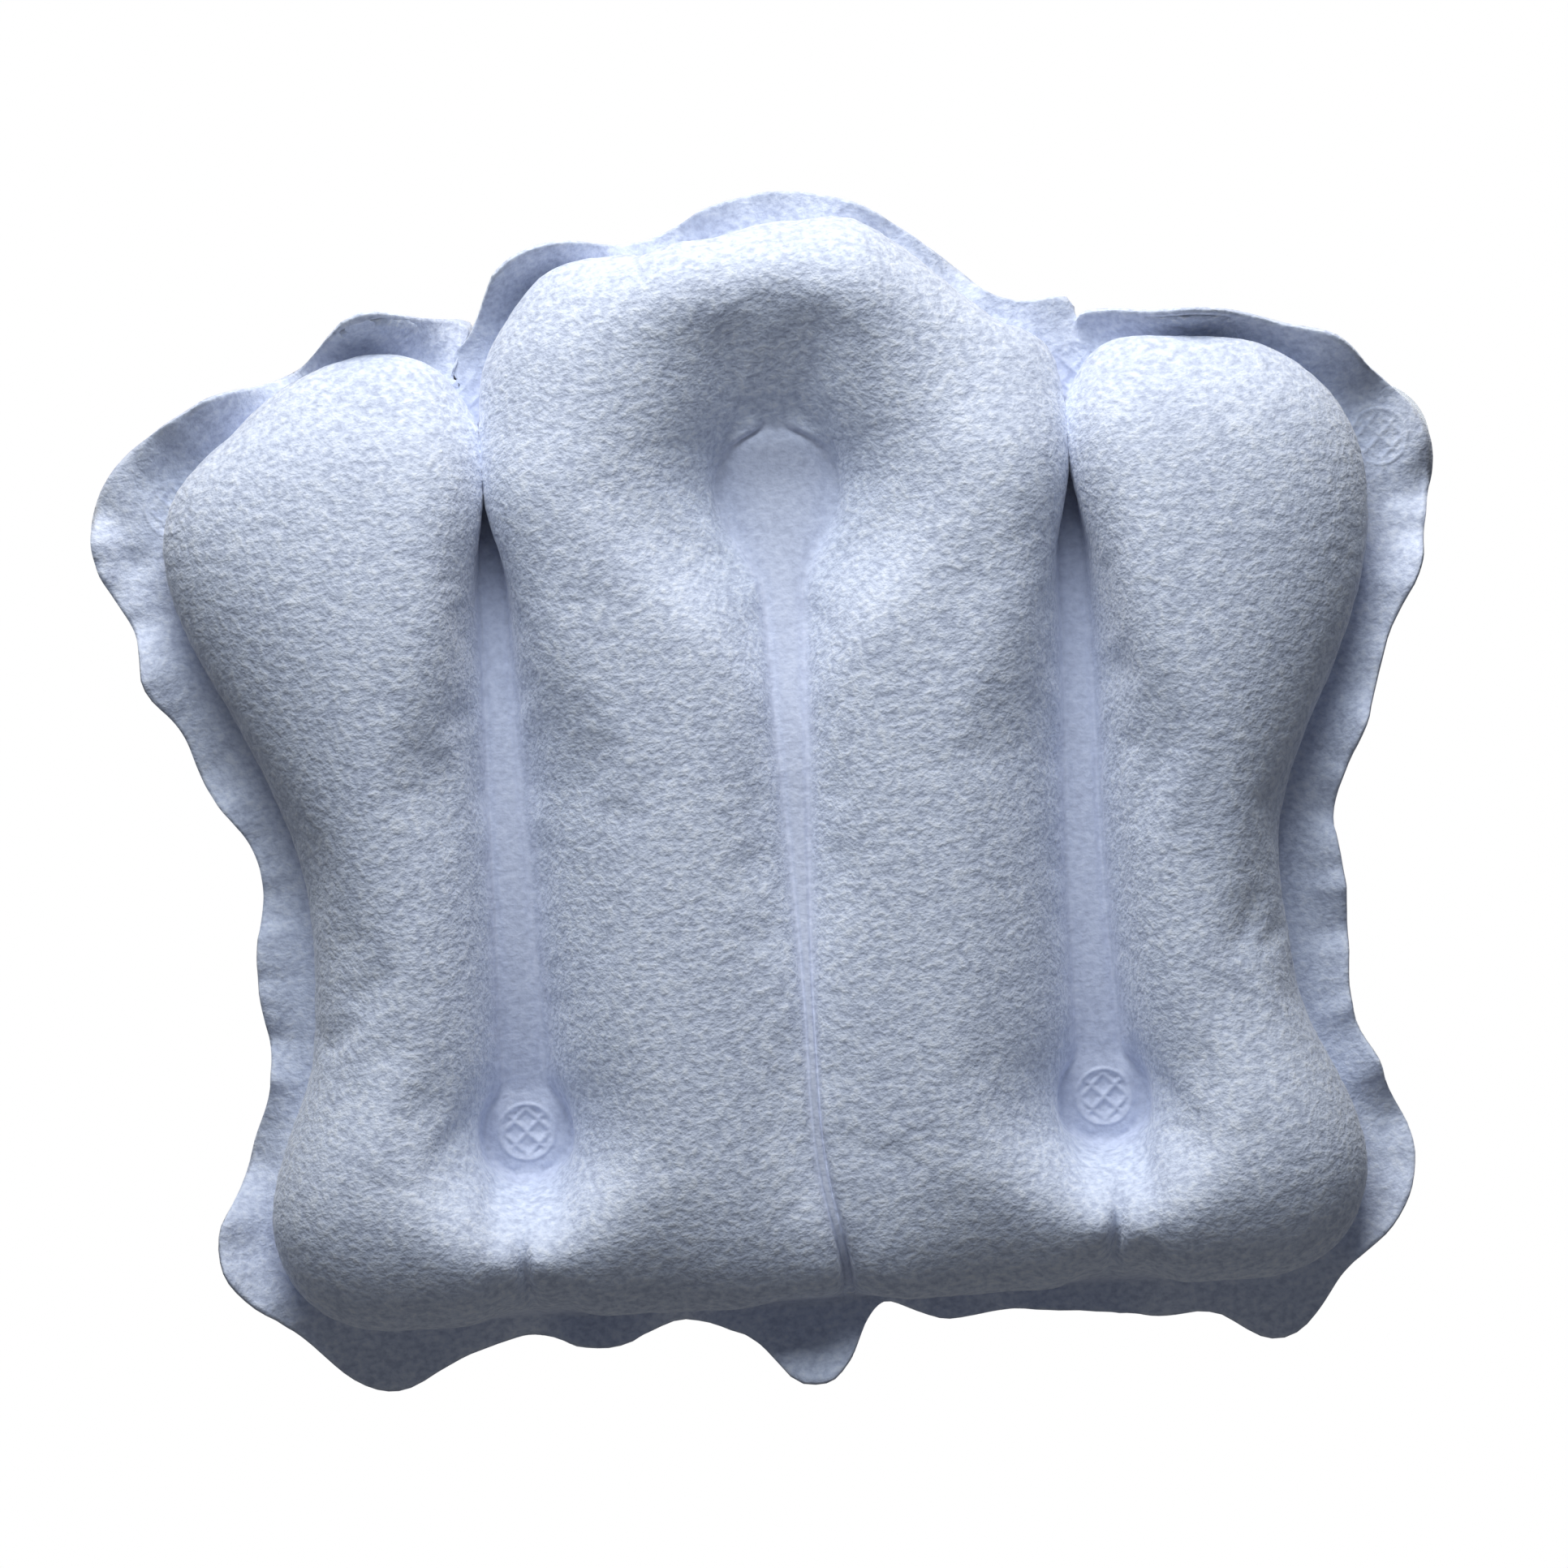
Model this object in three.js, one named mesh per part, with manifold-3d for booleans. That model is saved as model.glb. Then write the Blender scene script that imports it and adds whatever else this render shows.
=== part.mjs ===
// Inflatable bath pillow: two terry-faced sheets welded together into four upright air lobes,
// six suction cups welded behind the seams, and a push-in air valve on the back.
// Millimetres, +Z up. The front faces -Y and the lips of the cups lie in the plane y = 0.
import * as THREE from "three";
import { mergeVertices } from "three/addons/utils/BufferGeometryUtils.js";
import Module from "manifold-3d";

const wasm = await Module();
wasm.setup();

// Free gap between neighbouring pieces
const fitGap = 0.3;

// Outer weld line: half widths at their levels, and how far it reaches up and down from the middle
const lowerHalfWidth = 161;
const waistHalfWidth = 145;
const upperHalfWidth = 165;
const lowerFlareZ = -116;
const waistLowZ = -64;
const waistHighZ = -26;
const upperFlareZ = 70;
const lowerWeldZ = -146;
const outerLobeTopZ = 114;
const headrestTopZ = 159;
const headrestCrownDrop = 8;
const headrestLift = 16;
const lowerCornerRadius = 32;
const upperCornerRadius = 40;
const shoulderRadius = 44;
const innerCornerRadius = 18;

// Slots between the outer and the inner lobes, with a round foot and a wide top
const slotX = 82.3;
const slotFootWidth = 13;
const slotPinchWidth = 7;
const slotTopWidth = 14;
const slotPinchZ = 58;
const slotTopZ = 99;
const footRadius = 13;
const footZ = -94;

// Middle seam, which opens into a flat drop under the headrest
const seamWidth = 5;
const seamTopWidth = 11;
const seamLowZ = -70;
const dropRadius = 17.2;
const dropZ = 84;
const dropTipZ = 53;

// Flat weld flange round the outside, how much its tabs widen it and over what reach, and its waves
const flangeWidth = 8.5;
const crownTabExtra = 3;
const crownTabReach = 22;
const footTabExtra = 14;
const footTabReach = 13;
const foldTabX = 129;
const foldTabExtra = 8;
const foldTabReach = 15;
const cornerTabExtra = 20;
const cornerTabReach = 32;
const valleyTabRise = 4;
const valleyTabExtra = 8;
const valleyTabReach = 24;
const flangeWaveHeight = 2.2;
const flangeWaveLength = 46;

// Sheet and air lobes: their heights, and how far they swell past their welds
const sheetThickness = 1.2;
const frontBulge = 41;
const backBulge = 20;
const lobeOverhang = 4.5;

// Rounding of the lobes at the outline, at its foot, along the slots and the seam, and over the
// drop. The seam's rounding reaches out to seamReach and turns into the slots' over slotReach.
const sideRounding = 42;
const footRounding = 28;
const slotRounding = 18;
const seamRounding = 10;
const dropRounding = 32;
const seamReach = 16.5;
const slotReach = 25;

// Roll across the headrest
const rollHeight = 6;
const rollZ = 134;
const rollHalfWidth = 50;
const rollHalfHeight = 22;

// How far the air draws the seam and the slots forward of the outline, and over what reach
const seamLift = 17;
const seamLiftReach = 90;
const slotLift = 8;

// Suction cups, from the weld plate on the sheet to the lip, which stands behind the lobes
const cupStandOff = 1.8;
const cupPlateRadius = 8.5;
const cupPlateThickness = 1.6;
const cupNeckRadius = 5;
const cupNeckHeight = 10;
const cupBellRadius = 17.5;
const cupLipWidth = 1.6;
const cupLipThickness = 0.9;
const cupWall = 2.4;
const tabCupOutset = 7;
const tabCupDrop = 25;
const valleyCupShift = 3.7;
const valleyCupDrop = 0.7;
const cupFlatReach = 24;

// Air valve: the plate welded on the sheet, the stem that pushes in through it, and its plug
const valveZ = -61;
const padMargin = 7;
const padDepth = 4;
const valvePlateRadius = 15;
const valvePlateThickness = 1.2;
const valveHoleRadius = 9.3;
const diaphragmWall = 0.9;
const diaphragmDepth = 6;
const stemRadius = 5.5;
const stemBoreRadius = 4;
const stemLength = 16;
const collarRadius = 7;
const collarThickness = 1;
const earWidth = 5;
const hingeReach = 11;
const hingeStandOff = 0.5;
const plugCapRadius = 6.5;
const plugCapThickness = 1.5;
const plugDepth = 5;
const plugTaper = 0.6;
const plugTabLength = 3;
const plugTabWidth = 5;
const strapWidth = 4;
const strapThickness = 0.8;
const flapRadius = 4.8;
const flapThickness = 0.8;
const flapHingeReach = 5.3;
const flapTabWidth = 3;
const cutOverrun = 5;
const mergeDistance = 0.0001;

// Counts of grid cells and of sides
const lobeCells = 6;
const lowerCells = 3;
const upperCells = 4;
const ringSides = 32;
const cupSides = 20;
const cornerEasing = 4;

// Height, as a share of the lobe's, from which a lobe swells fully past its welds
const overhangShare = 0.35;

// Curves of the bell's outside and inside, as powers of the radius
const bellPower = 1.6;
const hollowPower = 3;

// Places that follow from the sizes
const cupHeight = backBulge + sheetThickness + cupStandOff;
const weldY = -(cupHeight + fitGap + sheetThickness + fitGap / 2);
const padHeight = backBulge - padDepth;
const padReach = valvePlateRadius + padMargin;
const footTopZ = footZ + Math.sqrt(footRadius ** 2 - (slotFootWidth / 2) ** 2);
const padBackY = weldY + fitGap / 2 + padHeight + sheetThickness;

// Finishes
const finishes = {
  frontTerry: { color: 0xc9cfe6, roughness: 0.95, metalness: 0 },
  backTerry: { color: 0xbcc3dd, roughness: 0.95, metalness: 0 },
  clearVinyl: { color: 0xdfe6ee, roughness: 0.25, metalness: 0 },
  valveVinyl: { color: 0xd4d9ec, roughness: 0.4, metalness: 0 },
};

const smooth = (t) => {
  const held = THREE.MathUtils.clamp(t, 0, 1);
  return held * held * (3 - 2 * held);
};

// Value at a level, eased between [level, value] stations that rise
function valueAt(level, stations) {
  for (let i = 1; i < stations.length; i += 1) {
    const [low, from] = stations[i - 1];
    const [high, to] = stations[i];
    if (level <= high) {
      return from + (to - from) * smooth((level - low) / (high - low));
    }
  }
  return stations[stations.length - 1][1];
}

// Steps that start close together, that end close together, and that do both
const stepsBy = (shareAt) => (from, to, count) =>
  Array.from({ length: count }, (_, k) => from + (to - from) * shareAt(k, count));
const easedSteps = stepsBy((k, count) => 1 - Math.cos((Math.PI * k) / (2 * count)));
const settledSteps = stepsBy((k, count) => Math.sin((Math.PI * (k + 1)) / (2 * count)));
const roundedSteps = stepsBy((k, count) => (1 - Math.cos((Math.PI * (k + 1)) / count)) / 2);

// Half width of the slot's flat web at a level
function slotHalfWidth(z) {
  const inFoot = Math.abs(z - footZ) < footRadius;
  const foot = inFoot ? Math.sqrt(footRadius ** 2 - (z - footZ) ** 2) : 0;
  const stations = [
    [footZ, slotFootWidth / 2],
    [slotPinchZ, slotPinchWidth / 2],
    [slotTopZ, slotTopWidth / 2],
  ];
  const web = valueAt(z, stations);
  return z > footZ ? Math.max(foot, web) : Math.max(foot, slotFootWidth / 2);
}

// Half width of the middle seam and of the drop at its top
function seamHalfWidth(z) {
  const drop = Math.abs(z - dropZ) < dropRadius ? Math.sqrt(dropRadius ** 2 - (z - dropZ) ** 2) : 0;
  const flank = valueAt(z, [
    [seamLowZ, seamWidth / 2],
    [dropTipZ, seamTopWidth / 2],
    [dropZ, dropRadius],
  ]);
  return z > dropZ ? Math.max(drop, seamWidth) : flank;
}

const sideHalfWidth = (z) =>
  valueAt(z, [
    [lowerFlareZ, lowerHalfWidth],
    [waistLowZ, waistHalfWidth],
    [waistHighZ, waistHalfWidth],
    [upperFlareZ, upperHalfWidth],
  ]);

// Levels of the grid rows in the inner lobes and in the shorter outer lobes
function rowLevels() {
  const eighth = Math.PI / 8;
  const footLow = footZ - footRadius * Math.cos(eighth);
  const padTop = valveZ + padReach;
  const dropLow = dropZ - dropRadius * Math.sin(eighth);
  const dropTop = dropZ + dropRadius * Math.cos(eighth);
  const outerShoulder = outerLobeTopZ - innerCornerRadius;
  const shared = [
    ...easedSteps(lowerWeldZ, footLow, lowerCells),
    footLow,
    footZ - footRadius * Math.sin(eighth),
    footZ + footRadius * Math.sin(eighth),
    footTopZ,
    padTop,
    (padTop + dropTipZ) / 2,
    dropTipZ,
  ];
  const dropRows = [(dropTipZ + dropLow) / 2, dropLow, dropZ + dropRadius * Math.sin(eighth), dropTop];
  const squeeze = (outerShoulder - dropTipZ) / (dropTop - dropTipZ);
  return {
    inner: [...shared, ...dropRows, ...roundedSteps(dropTop, headrestTopZ, upperCells)],
    outer: [
      ...shared,
      ...dropRows.map((z) => dropTipZ + (z - dropTipZ) * squeeze),
      ...settledSteps(outerShoulder, outerLobeTopZ, upperCells),
    ],
    footRow: lowerCells,
    dropTopRow: shared.length + dropRows.length - 1,
  };
}

// Rounds a square corner: points past the corner's centre move onto arcs
function roundCorner(point, centreX, centreZ, radius, outwardX, outwardZ) {
  const p = ((point.x - centreX) * outwardX) / radius;
  const q = ((point.y - centreZ) * outwardZ) / radius;
  if (p > 0 && q > 0) {
    point.x = centreX + outwardX * radius * p * Math.sqrt(1 - (q * q) / 2);
    point.y = centreZ + outwardZ * radius * q * Math.sqrt(1 - (p * p) / 2);
  }
  return point;
}

// Points of one row of the right half, from the middle seam out to the side
function halfRow(levels, row) {
  const innerZ = levels.inner[row];
  const outerZ = levels.outer[row];
  const crownShare = smooth((innerZ - dropZ) / (headrestTopZ - dropZ));
  const points = [];
  const spread = (from, to, z) => {
    for (let k = 0; k <= lobeCells; k += 1) {
      const share = (1 - Math.cos((Math.PI * k) / lobeCells)) / 2;
      points.push(new THREE.Vector2(from + (to - from) * share, z));
    }
  };
  spread(seamHalfWidth(innerZ), slotX - slotHalfWidth(innerZ), innerZ);
  spread(slotX + slotHalfWidth(outerZ), sideHalfWidth(outerZ), outerZ);
  const shoulderX = slotX - slotTopWidth / 2;
  const innerCornerX = slotX + slotTopWidth / 2;
  points.forEach((point, k) => {
    if (k <= lobeCells) {
      roundCorner(point, shoulderX - shoulderRadius, headrestTopZ - shoulderRadius, shoulderRadius, 1, 1);
      point.y -= headrestCrownDrop * crownShare * (point.x / shoulderX) ** 2;
      return;
    }
    const upX = upperHalfWidth - upperCornerRadius;
    const lowX = lowerHalfWidth - lowerCornerRadius;
    roundCorner(point, upX, outerLobeTopZ - upperCornerRadius, upperCornerRadius, 1, 1);
    roundCorner(point, lowX, lowerWeldZ + lowerCornerRadius, lowerCornerRadius, 1, -1);
    roundCorner(
      point,
      innerCornerX + innerCornerRadius,
      outerLobeTopZ - innerCornerRadius,
      innerCornerRadius,
      -1,
      1,
    );
  });
  return points;
}

// Whole grid of weld and lobe points, with the weld lines round the outside and between the lobes
function panelGrid() {
  const levels = rowLevels();
  const rows = levels.inner.map((_, row) => {
    const right = halfRow(levels, row);
    const left = right.map((p) => new THREE.Vector2(-p.x, p.y)).reverse();
    return [...left, ...right];
  });
  const last = rows.length - 1;
  const width = rows[0].length;
  const seam = width / 2 - 1;
  const column = (number, from, to) => rows.slice(from, to + 1).map((row) => row[number]);
  const web = (number, from, to) => [
    ...column(number, from, to).reverse(),
    ...column(number + 1, from, to),
    rows[to][number],
  ];
  const points = rows.flat();
  const rim = rimNumbers(width, last).map((n) => points[n]);
  return {
    rows,
    outline: [...rim, rim[0]],
    webs: [
      web(seam, 0, levels.dropTopRow),
      web(lobeCells, levels.footRow, last),
      web(width - 2 - lobeCells, levels.footRow, last),
    ],
  };
}

// Distance of a place from a line of weld points
function distanceTo(place, line) {
  let nearest = Infinity;
  for (let i = 1; i < line.length; i += 1) {
    const along = line[i].clone().sub(line[i - 1]);
    const share = place.clone().sub(line[i - 1]).dot(along) / along.lengthSq();
    const foot = line[i - 1].clone().addScaledVector(along, THREE.MathUtils.clamp(share, 0, 1));
    nearest = Math.min(nearest, place.distanceTo(foot));
  }
  return nearest;
}

// Height of a quarter round at a distance from its foot, as a share of its radius
const quarterRound = (distance, radius) => Math.sqrt(1 - (1 - Math.min(distance / radius, 1)) ** 2);

// Rounding of the lobes along the webs: tight at the seam, wide over the drop
function webRounding(place) {
  const fromSeam = smooth((Math.abs(place.x) - seamReach) / slotReach);
  const along = THREE.MathUtils.lerp(seamRounding, slotRounding, fromSeam);
  const fromDrop = Math.hypot(place.x, place.y - dropZ - dropRadius);
  const overDrop = 1 - smooth((fromDrop - dropRounding) / dropRounding);
  return THREE.MathUtils.lerp(along, dropRounding, overDrop);
}

// Height of the blown-up lobes over a place in the sheet, as a share of the highest
function lobeShare(grid) {
  const welded = new Set([...grid.outline, ...grid.webs.flat()]);
  return (place) => {
    if (welded.has(place)) {
      return 0;
    }
    const fromFoot = smooth((place.y - lowerWeldZ - footRounding) / (2 * footRounding));
    const outlineRadius = THREE.MathUtils.lerp(footRounding, sideRounding, fromFoot);
    const toWeb = Math.min(...grid.webs.map((web) => distanceTo(place, web)));
    return (
      quarterRound(distanceTo(place, grid.outline), outlineRadius) *
      quarterRound(toWeb, webRounding(place))
    );
  };
}

// How far the air in front and behind draws a place on the webs forward of the outline
function webLift(place) {
  const dropTopZ = dropZ + dropRadius;
  const low = smooth((place.y - lowerWeldZ) / seamLiftReach);
  const high = 1 - smooth((place.y - dropTopZ) / (headrestTopZ - dropTopZ));
  const atSeam = Math.exp(-((place.x / (2 * dropRadius)) ** 2));
  const span = THREE.MathUtils.clamp((place.y - footZ) / (slotTopZ - footZ), 0, 1);
  const bow = Math.sin(Math.PI * span) ** 2;
  const atSlot = Math.exp(-(((Math.abs(place.x) - slotX) / (2 * footRadius)) ** 2));
  return seamLift * low * high * atSeam + slotLift * bow * atSlot;
}

// Centres of the six suction cups in the sheet's plane
function cupPlaces() {
  const tabX = upperHalfWidth + tabCupOutset;
  const tabZ = outerLobeTopZ - tabCupDrop;
  const valleyX = slotX + valleyCupShift;
  const valleyZ = outerLobeTopZ - valleyCupDrop;
  return {
    upper_left: new THREE.Vector2(-tabX, tabZ),
    upper_right: new THREE.Vector2(tabX, tabZ),
    shoulder_left: new THREE.Vector2(-valleyX, valleyZ),
    shoulder_right: new THREE.Vector2(valleyX, valleyZ),
    lower_left: new THREE.Vector2(-slotX, footZ),
    lower_right: new THREE.Vector2(slotX, footZ),
  };
}

// Width of the flange at a place on the weld line, from tabs of [x, z, extra width, reach]
function flangeWidthAt(x, z) {
  const tabs = [
    [0, headrestTopZ, crownTabExtra, crownTabReach],
    [0, lowerWeldZ, footTabExtra, footTabReach],
    [foldTabX, lowerWeldZ, foldTabExtra, foldTabReach],
    [upperHalfWidth, outerLobeTopZ - tabCupDrop, cornerTabExtra, cornerTabReach],
    [slotX, outerLobeTopZ + valleyTabRise, valleyTabExtra, valleyTabReach],
  ];
  const extras = tabs.map(([tabX, tabZ, extra, reach]) => {
    const distance = Math.hypot(Math.abs(x) - tabX, z - tabZ);
    return extra * Math.exp(-((distance / reach) ** 2));
  });
  return flangeWidth + extras.reduce((a, b) => a + b, 0);
}

// Outward directions along a closed line, eased round its inner corners
function outwardDirections(line) {
  const count = line.length;
  const edgeNormal = (i) => {
    const along = line[(i + 1) % count].clone().sub(line[i % count]).normalize();
    return new THREE.Vector2(along.y, -along.x);
  };
  let directions = line.map((_, i) => edgeNormal(i).add(edgeNormal(i + count - 1)).normalize());
  for (let pass = 0; pass < cornerEasing; pass += 1) {
    directions = directions.map((own, i) => {
      const before = directions[(i + count - 1) % count];
      const after = directions[(i + 1) % count];
      return own.clone().multiplyScalar(2).add(before).add(after).normalize();
    });
  }
  return directions;
}

// Edge of the flange: one point outside each point of the outer weld line
function flangeEdge(rim) {
  const cups = Object.values(cupPlaces());
  const outward = outwardDirections(rim);
  let travelled = 0;
  return rim.map((point, i) => {
    travelled += i === 0 ? 0 : point.distanceTo(rim[i - 1]);
    const edge = point.clone().addScaledVector(outward[i], flangeWidthAt(point.x, point.y));
    const toCup = Math.min(...cups.map((cup) => cup.distanceTo(edge)));
    const free = smooth((toCup - cupFlatReach) / cupFlatReach);
    const wave = Math.sin((2 * Math.PI * travelled) / flangeWaveLength);
    return new THREE.Vector3(edge.x, flangeWaveHeight * wave * free, edge.y);
  });
}

// Numbers of the grid points round the outside, anticlockwise from the lower left
function rimNumbers(width, last) {
  const at = (row, column) => row * width + column;
  return [
    ...Array.from({ length: width }, (_, c) => at(0, c)),
    ...Array.from({ length: last }, (_, r) => at(r + 1, width - 1)),
    ...Array.from({ length: width - 1 }, (_, c) => at(last, width - 2 - c)),
    ...Array.from({ length: last - 1 }, (_, r) => at(last - 1 - r, 0)),
  ];
}

// Triangles of a sheet's face, each quad split along its shorter diagonal
function sheetFaces(points, width, last, rim) {
  const faces = [];
  const addQuad = (a, b, c, d) => {
    if (points[a].distanceTo(points[c]) <= points[b].distanceTo(points[d])) {
      faces.push([a, b, c], [a, c, d]);
    } else {
      faces.push([a, b, d], [b, c, d]);
    }
  };
  for (let row = 0; row < last; row += 1) {
    for (let column = 0; column < width - 1; column += 1) {
      const n = row * width + column;
      addQuad(n, n + 1, n + width + 1, n + width);
    }
  }
  const firstEdge = points.length - rim.length;
  rim.forEach((n, i) => {
    const next = (i + 1) % rim.length;
    addQuad(firstEdge + i, firstEdge + next, rim[next], n);
  });
  return faces;
}

// Point normals, weighted by the corner angles of the faces round each point
function pointNormals(points, faces, facing) {
  const normals = points.map(() => new THREE.Vector3());
  const side = (from, to) => points[to].clone().sub(points[from]);
  for (const [a, b, c] of faces) {
    const normal = side(a, b).cross(side(a, c)).normalize().multiplyScalar(-facing);
    normals[a].addScaledVector(normal, side(a, b).angleTo(side(a, c)));
    normals[b].addScaledVector(normal, side(b, c).angleTo(side(b, a)));
    normals[c].addScaledVector(normal, side(c, a).angleTo(side(c, b)));
  }
  return normals.map((normal) => normal.normalize());
}

// Closed sheet: an inner face, an outer face one thickness away along the normals, and a rim.
// Flat places, such as webs and the flange, keep their full thickness along Y.
function sheetGeometry(rows, shapeAt, facing) {
  const width = rows[0].length;
  const last = rows.length - 1;
  const inner = [];
  const flat = [];
  const swells = [];
  for (const point of rows.flat()) {
    const { share, rise, lift, isFlat } = shapeAt(point);
    const forward = isFlat && share > 0 ? 0 : webLift(point) * (1 - share);
    const y = weldY + facing * (fitGap / 2 + rise) - forward;
    inner.push(new THREE.Vector3(point.x, y, point.y + lift));
    flat.push(isFlat);
    swells.push(isFlat ? 0 : lobeOverhang * smooth(share / overhangShare));
  }
  const rim = rimNumbers(width, last);
  const firstEdge = inner.length;
  for (const edge of flangeEdge(rim.map((n) => new THREE.Vector2(inner[n].x, inner[n].z)))) {
    inner.push(new THREE.Vector3(edge.x, weldY + (facing * fitGap) / 2 + edge.y, edge.z));
    flat.push(true);
  }
  const faces = sheetFaces(inner, width, last, rim);
  const outward = pointNormals(inner, faces, facing);
  swells.forEach((swell, n) => inner[n].addScaledVector(outward[n], swell));
  const normals = pointNormals(inner, faces, facing);
  const outer = inner.map((point, n) => {
    const normal = n < firstEdge ? normals[n] : new THREE.Vector3(0, facing, 0);
    if (!flat[n]) {
      return point.clone().addScaledVector(normal, sheetThickness);
    }
    const mitre = sheetThickness / Math.max(Math.abs(normal.y), Math.SQRT1_2);
    return point.clone().addScaledVector(normal, mitre).setY(point.y + facing * sheetThickness);
  });
  const count = inner.length;
  const indices = [];
  const addFace = (a, b, c) => indices.push(...(facing < 0 ? [a, b, c] : [a, c, b]));
  for (const [a, b, c] of faces) {
    addFace(count + a, count + b, count + c);
    addFace(a, c, b);
  }
  rim.forEach((_, i) => {
    const a = firstEdge + i;
    const b = firstEdge + ((i + 1) % rim.length);
    addFace(a, b, count + b);
    addFace(a, count + b, count + a);
  });
  const geometry = new THREE.BufferGeometry();
  const positions = [...inner, ...outer].flatMap((p) => [p.x, p.y, p.z]);
  geometry.setAttribute("position", new THREE.Float32BufferAttribute(positions, 3));
  geometry.setIndex(indices);
  return geometry;
}

function toSolid(geometry) {
  const bare = geometry.clone();
  bare.deleteAttribute("normal");
  bare.deleteAttribute("uv");
  const merged = mergeVertices(bare, mergeDistance);
  return new wasm.Manifold(
    new wasm.Mesh({
      numProp: 3,
      vertProperties: new Float32Array(merged.attributes.position.array),
      triVerts: new Uint32Array(merged.index.array),
    }),
  );
}

function fromSolid(solid) {
  const mesh = solid.getMesh();
  const geometry = new THREE.BufferGeometry();
  geometry.setAttribute("position", new THREE.BufferAttribute(new Float32Array(mesh.vertProperties), 3));
  geometry.setIndex(new THREE.BufferAttribute(new Uint32Array(mesh.triVerts), 1));
  return geometry;
}

// Ring or disc turned about the Y axis from [radius, y] points that run anticlockwise
function turned(profile, sides) {
  return new THREE.LatheGeometry(
    profile.map(([radius, y]) => new THREE.Vector2(radius, y)),
    sides,
  );
}

const closed = (profile) => [...profile, profile[0]];

const boxBetween = (low, high) => {
  const size = high.clone().sub(low);
  const middle = low.clone().add(high).multiplyScalar(0.5);
  return new THREE.BoxGeometry(size.x, size.y, size.z).translate(middle.x, middle.y, middle.z);
};

function named(name, geometry, finish) {
  const mesh = new THREE.Mesh(geometry, new THREE.MeshStandardMaterial(finishes[finish]));
  mesh.name = name;
  return mesh;
}

const valveX = (seamWidth / 2 + slotX - slotFootWidth / 2) / 2;

// The front sheet, whose headrest stands forward above its middle and is crossed by a roll
function frontPanel(grid, shareAt) {
  const shapeAt = (point) => {
    const share = shareAt(point);
    const inHeadrest = smooth((point.y - dropZ - dropRadius) / dropRadius);
    const across = (point.x / rollHalfWidth) ** 2;
    const roll = rollHeight * Math.exp(-across - ((point.y - rollZ) / rollHalfHeight) ** 2);
    return {
      share,
      rise: (frontBulge - lobeOverhang + roll) * share,
      lift: headrestLift * share * inHeadrest,
      isFlat: share === 0,
    };
  };
  return named("front_panel", sheetGeometry(grid.rows, shapeAt, -1), "frontTerry");
}

// The back sheet has a flat pad for the valve, with a hole for the stem
function backPanel(grid, shareAt) {
  const shapeAt = (point) => {
    const share = shareAt(point);
    const padLowZ = Math.min(footTopZ, valveZ - padReach) - fitGap;
    const padHighZ = valveZ + padReach + fitGap;
    const isAcross = Math.abs(point.x - valveX) < padReach;
    const isPad = isAcross && point.y > padLowZ && point.y < padHighZ && backBulge * share > padHeight;
    const rise = isPad ? padHeight : (backBulge - lobeOverhang) * share;
    return { share, rise, lift: 0, isFlat: share === 0 || isPad };
  };
  const sheet = toSolid(sheetGeometry(grid.rows, shapeAt, 1));
  const hole = new THREE.CylinderGeometry(valveHoleRadius, valveHoleRadius, 2 * cutOverrun, ringSides);
  hole.translate(valveX, padBackY, valveZ);
  return named("back_panel", fromSolid(sheet.subtract(toSolid(hole))), "backTerry");
}

// A suction cup: weld plate, neck and hollow bell, in one moulding
function suctionCup(name, place) {
  const baseY = -cupHeight;
  const plateY = baseY + cupPlateThickness;
  const neckY = plateY + cupNeckHeight;
  const hollowY = neckY + cupWall;
  const bellReach = cupBellRadius - cupNeckRadius;
  const bellRise = -cupLipThickness - neckY;
  const lipInner = cupBellRadius - cupLipWidth;
  const outerShares = [0.25, 0.5, 0.75];
  const innerShares = [0.88, 0.7, 0.4];
  const profile = [
    [0, baseY],
    [cupPlateRadius, baseY],
    [cupPlateRadius, plateY],
    [cupNeckRadius, plateY],
    [cupNeckRadius, neckY],
    ...outerShares.map((share) => [cupNeckRadius + bellReach * share, neckY + bellRise * share ** bellPower]),
    [cupBellRadius, -cupLipThickness],
    [cupBellRadius, 0],
    [lipInner, 0],
    ...innerShares.map((share) => [lipInner * share, hollowY * (1 - share ** hollowPower)]),
    [0, hollowY],
  ];
  const cup = named("suction_cup_" + name, turned(profile, cupSides), "clearVinyl");
  cup.position.set(place.x, 0, place.y);
  return cup;
}

// Levels in the valve along Y, from the sheet outwards
const plateBackY = padBackY + fitGap + valvePlateThickness;
const collarFrontY = plateBackY + fitGap;
const rimY = collarFrontY + collarThickness;
const capFrontY = rimY + fitGap;
const stemEndY = rimY - stemLength;

function valvePlate() {
  const low = padBackY + fitGap;
  const profile = [
    [valveHoleRadius, low],
    [valvePlateRadius, low],
    [valvePlateRadius, plateBackY],
    [valveHoleRadius, plateBackY],
  ];
  return named("valve_base", turned(closed(profile), ringSides), "valveVinyl");
}

function valveDiaphragm() {
  const outside = valveHoleRadius - fitGap;
  const inside = stemRadius + fitGap;
  const innerY = plateBackY - diaphragmDepth;
  const profile = [
    [inside, innerY],
    [inside, innerY - diaphragmWall],
    [outside, plateBackY - diaphragmWall],
    [outside, plateBackY],
  ];
  return named("valve_diaphragm", turned(closed(profile), ringSides), "valveVinyl");
}

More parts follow.
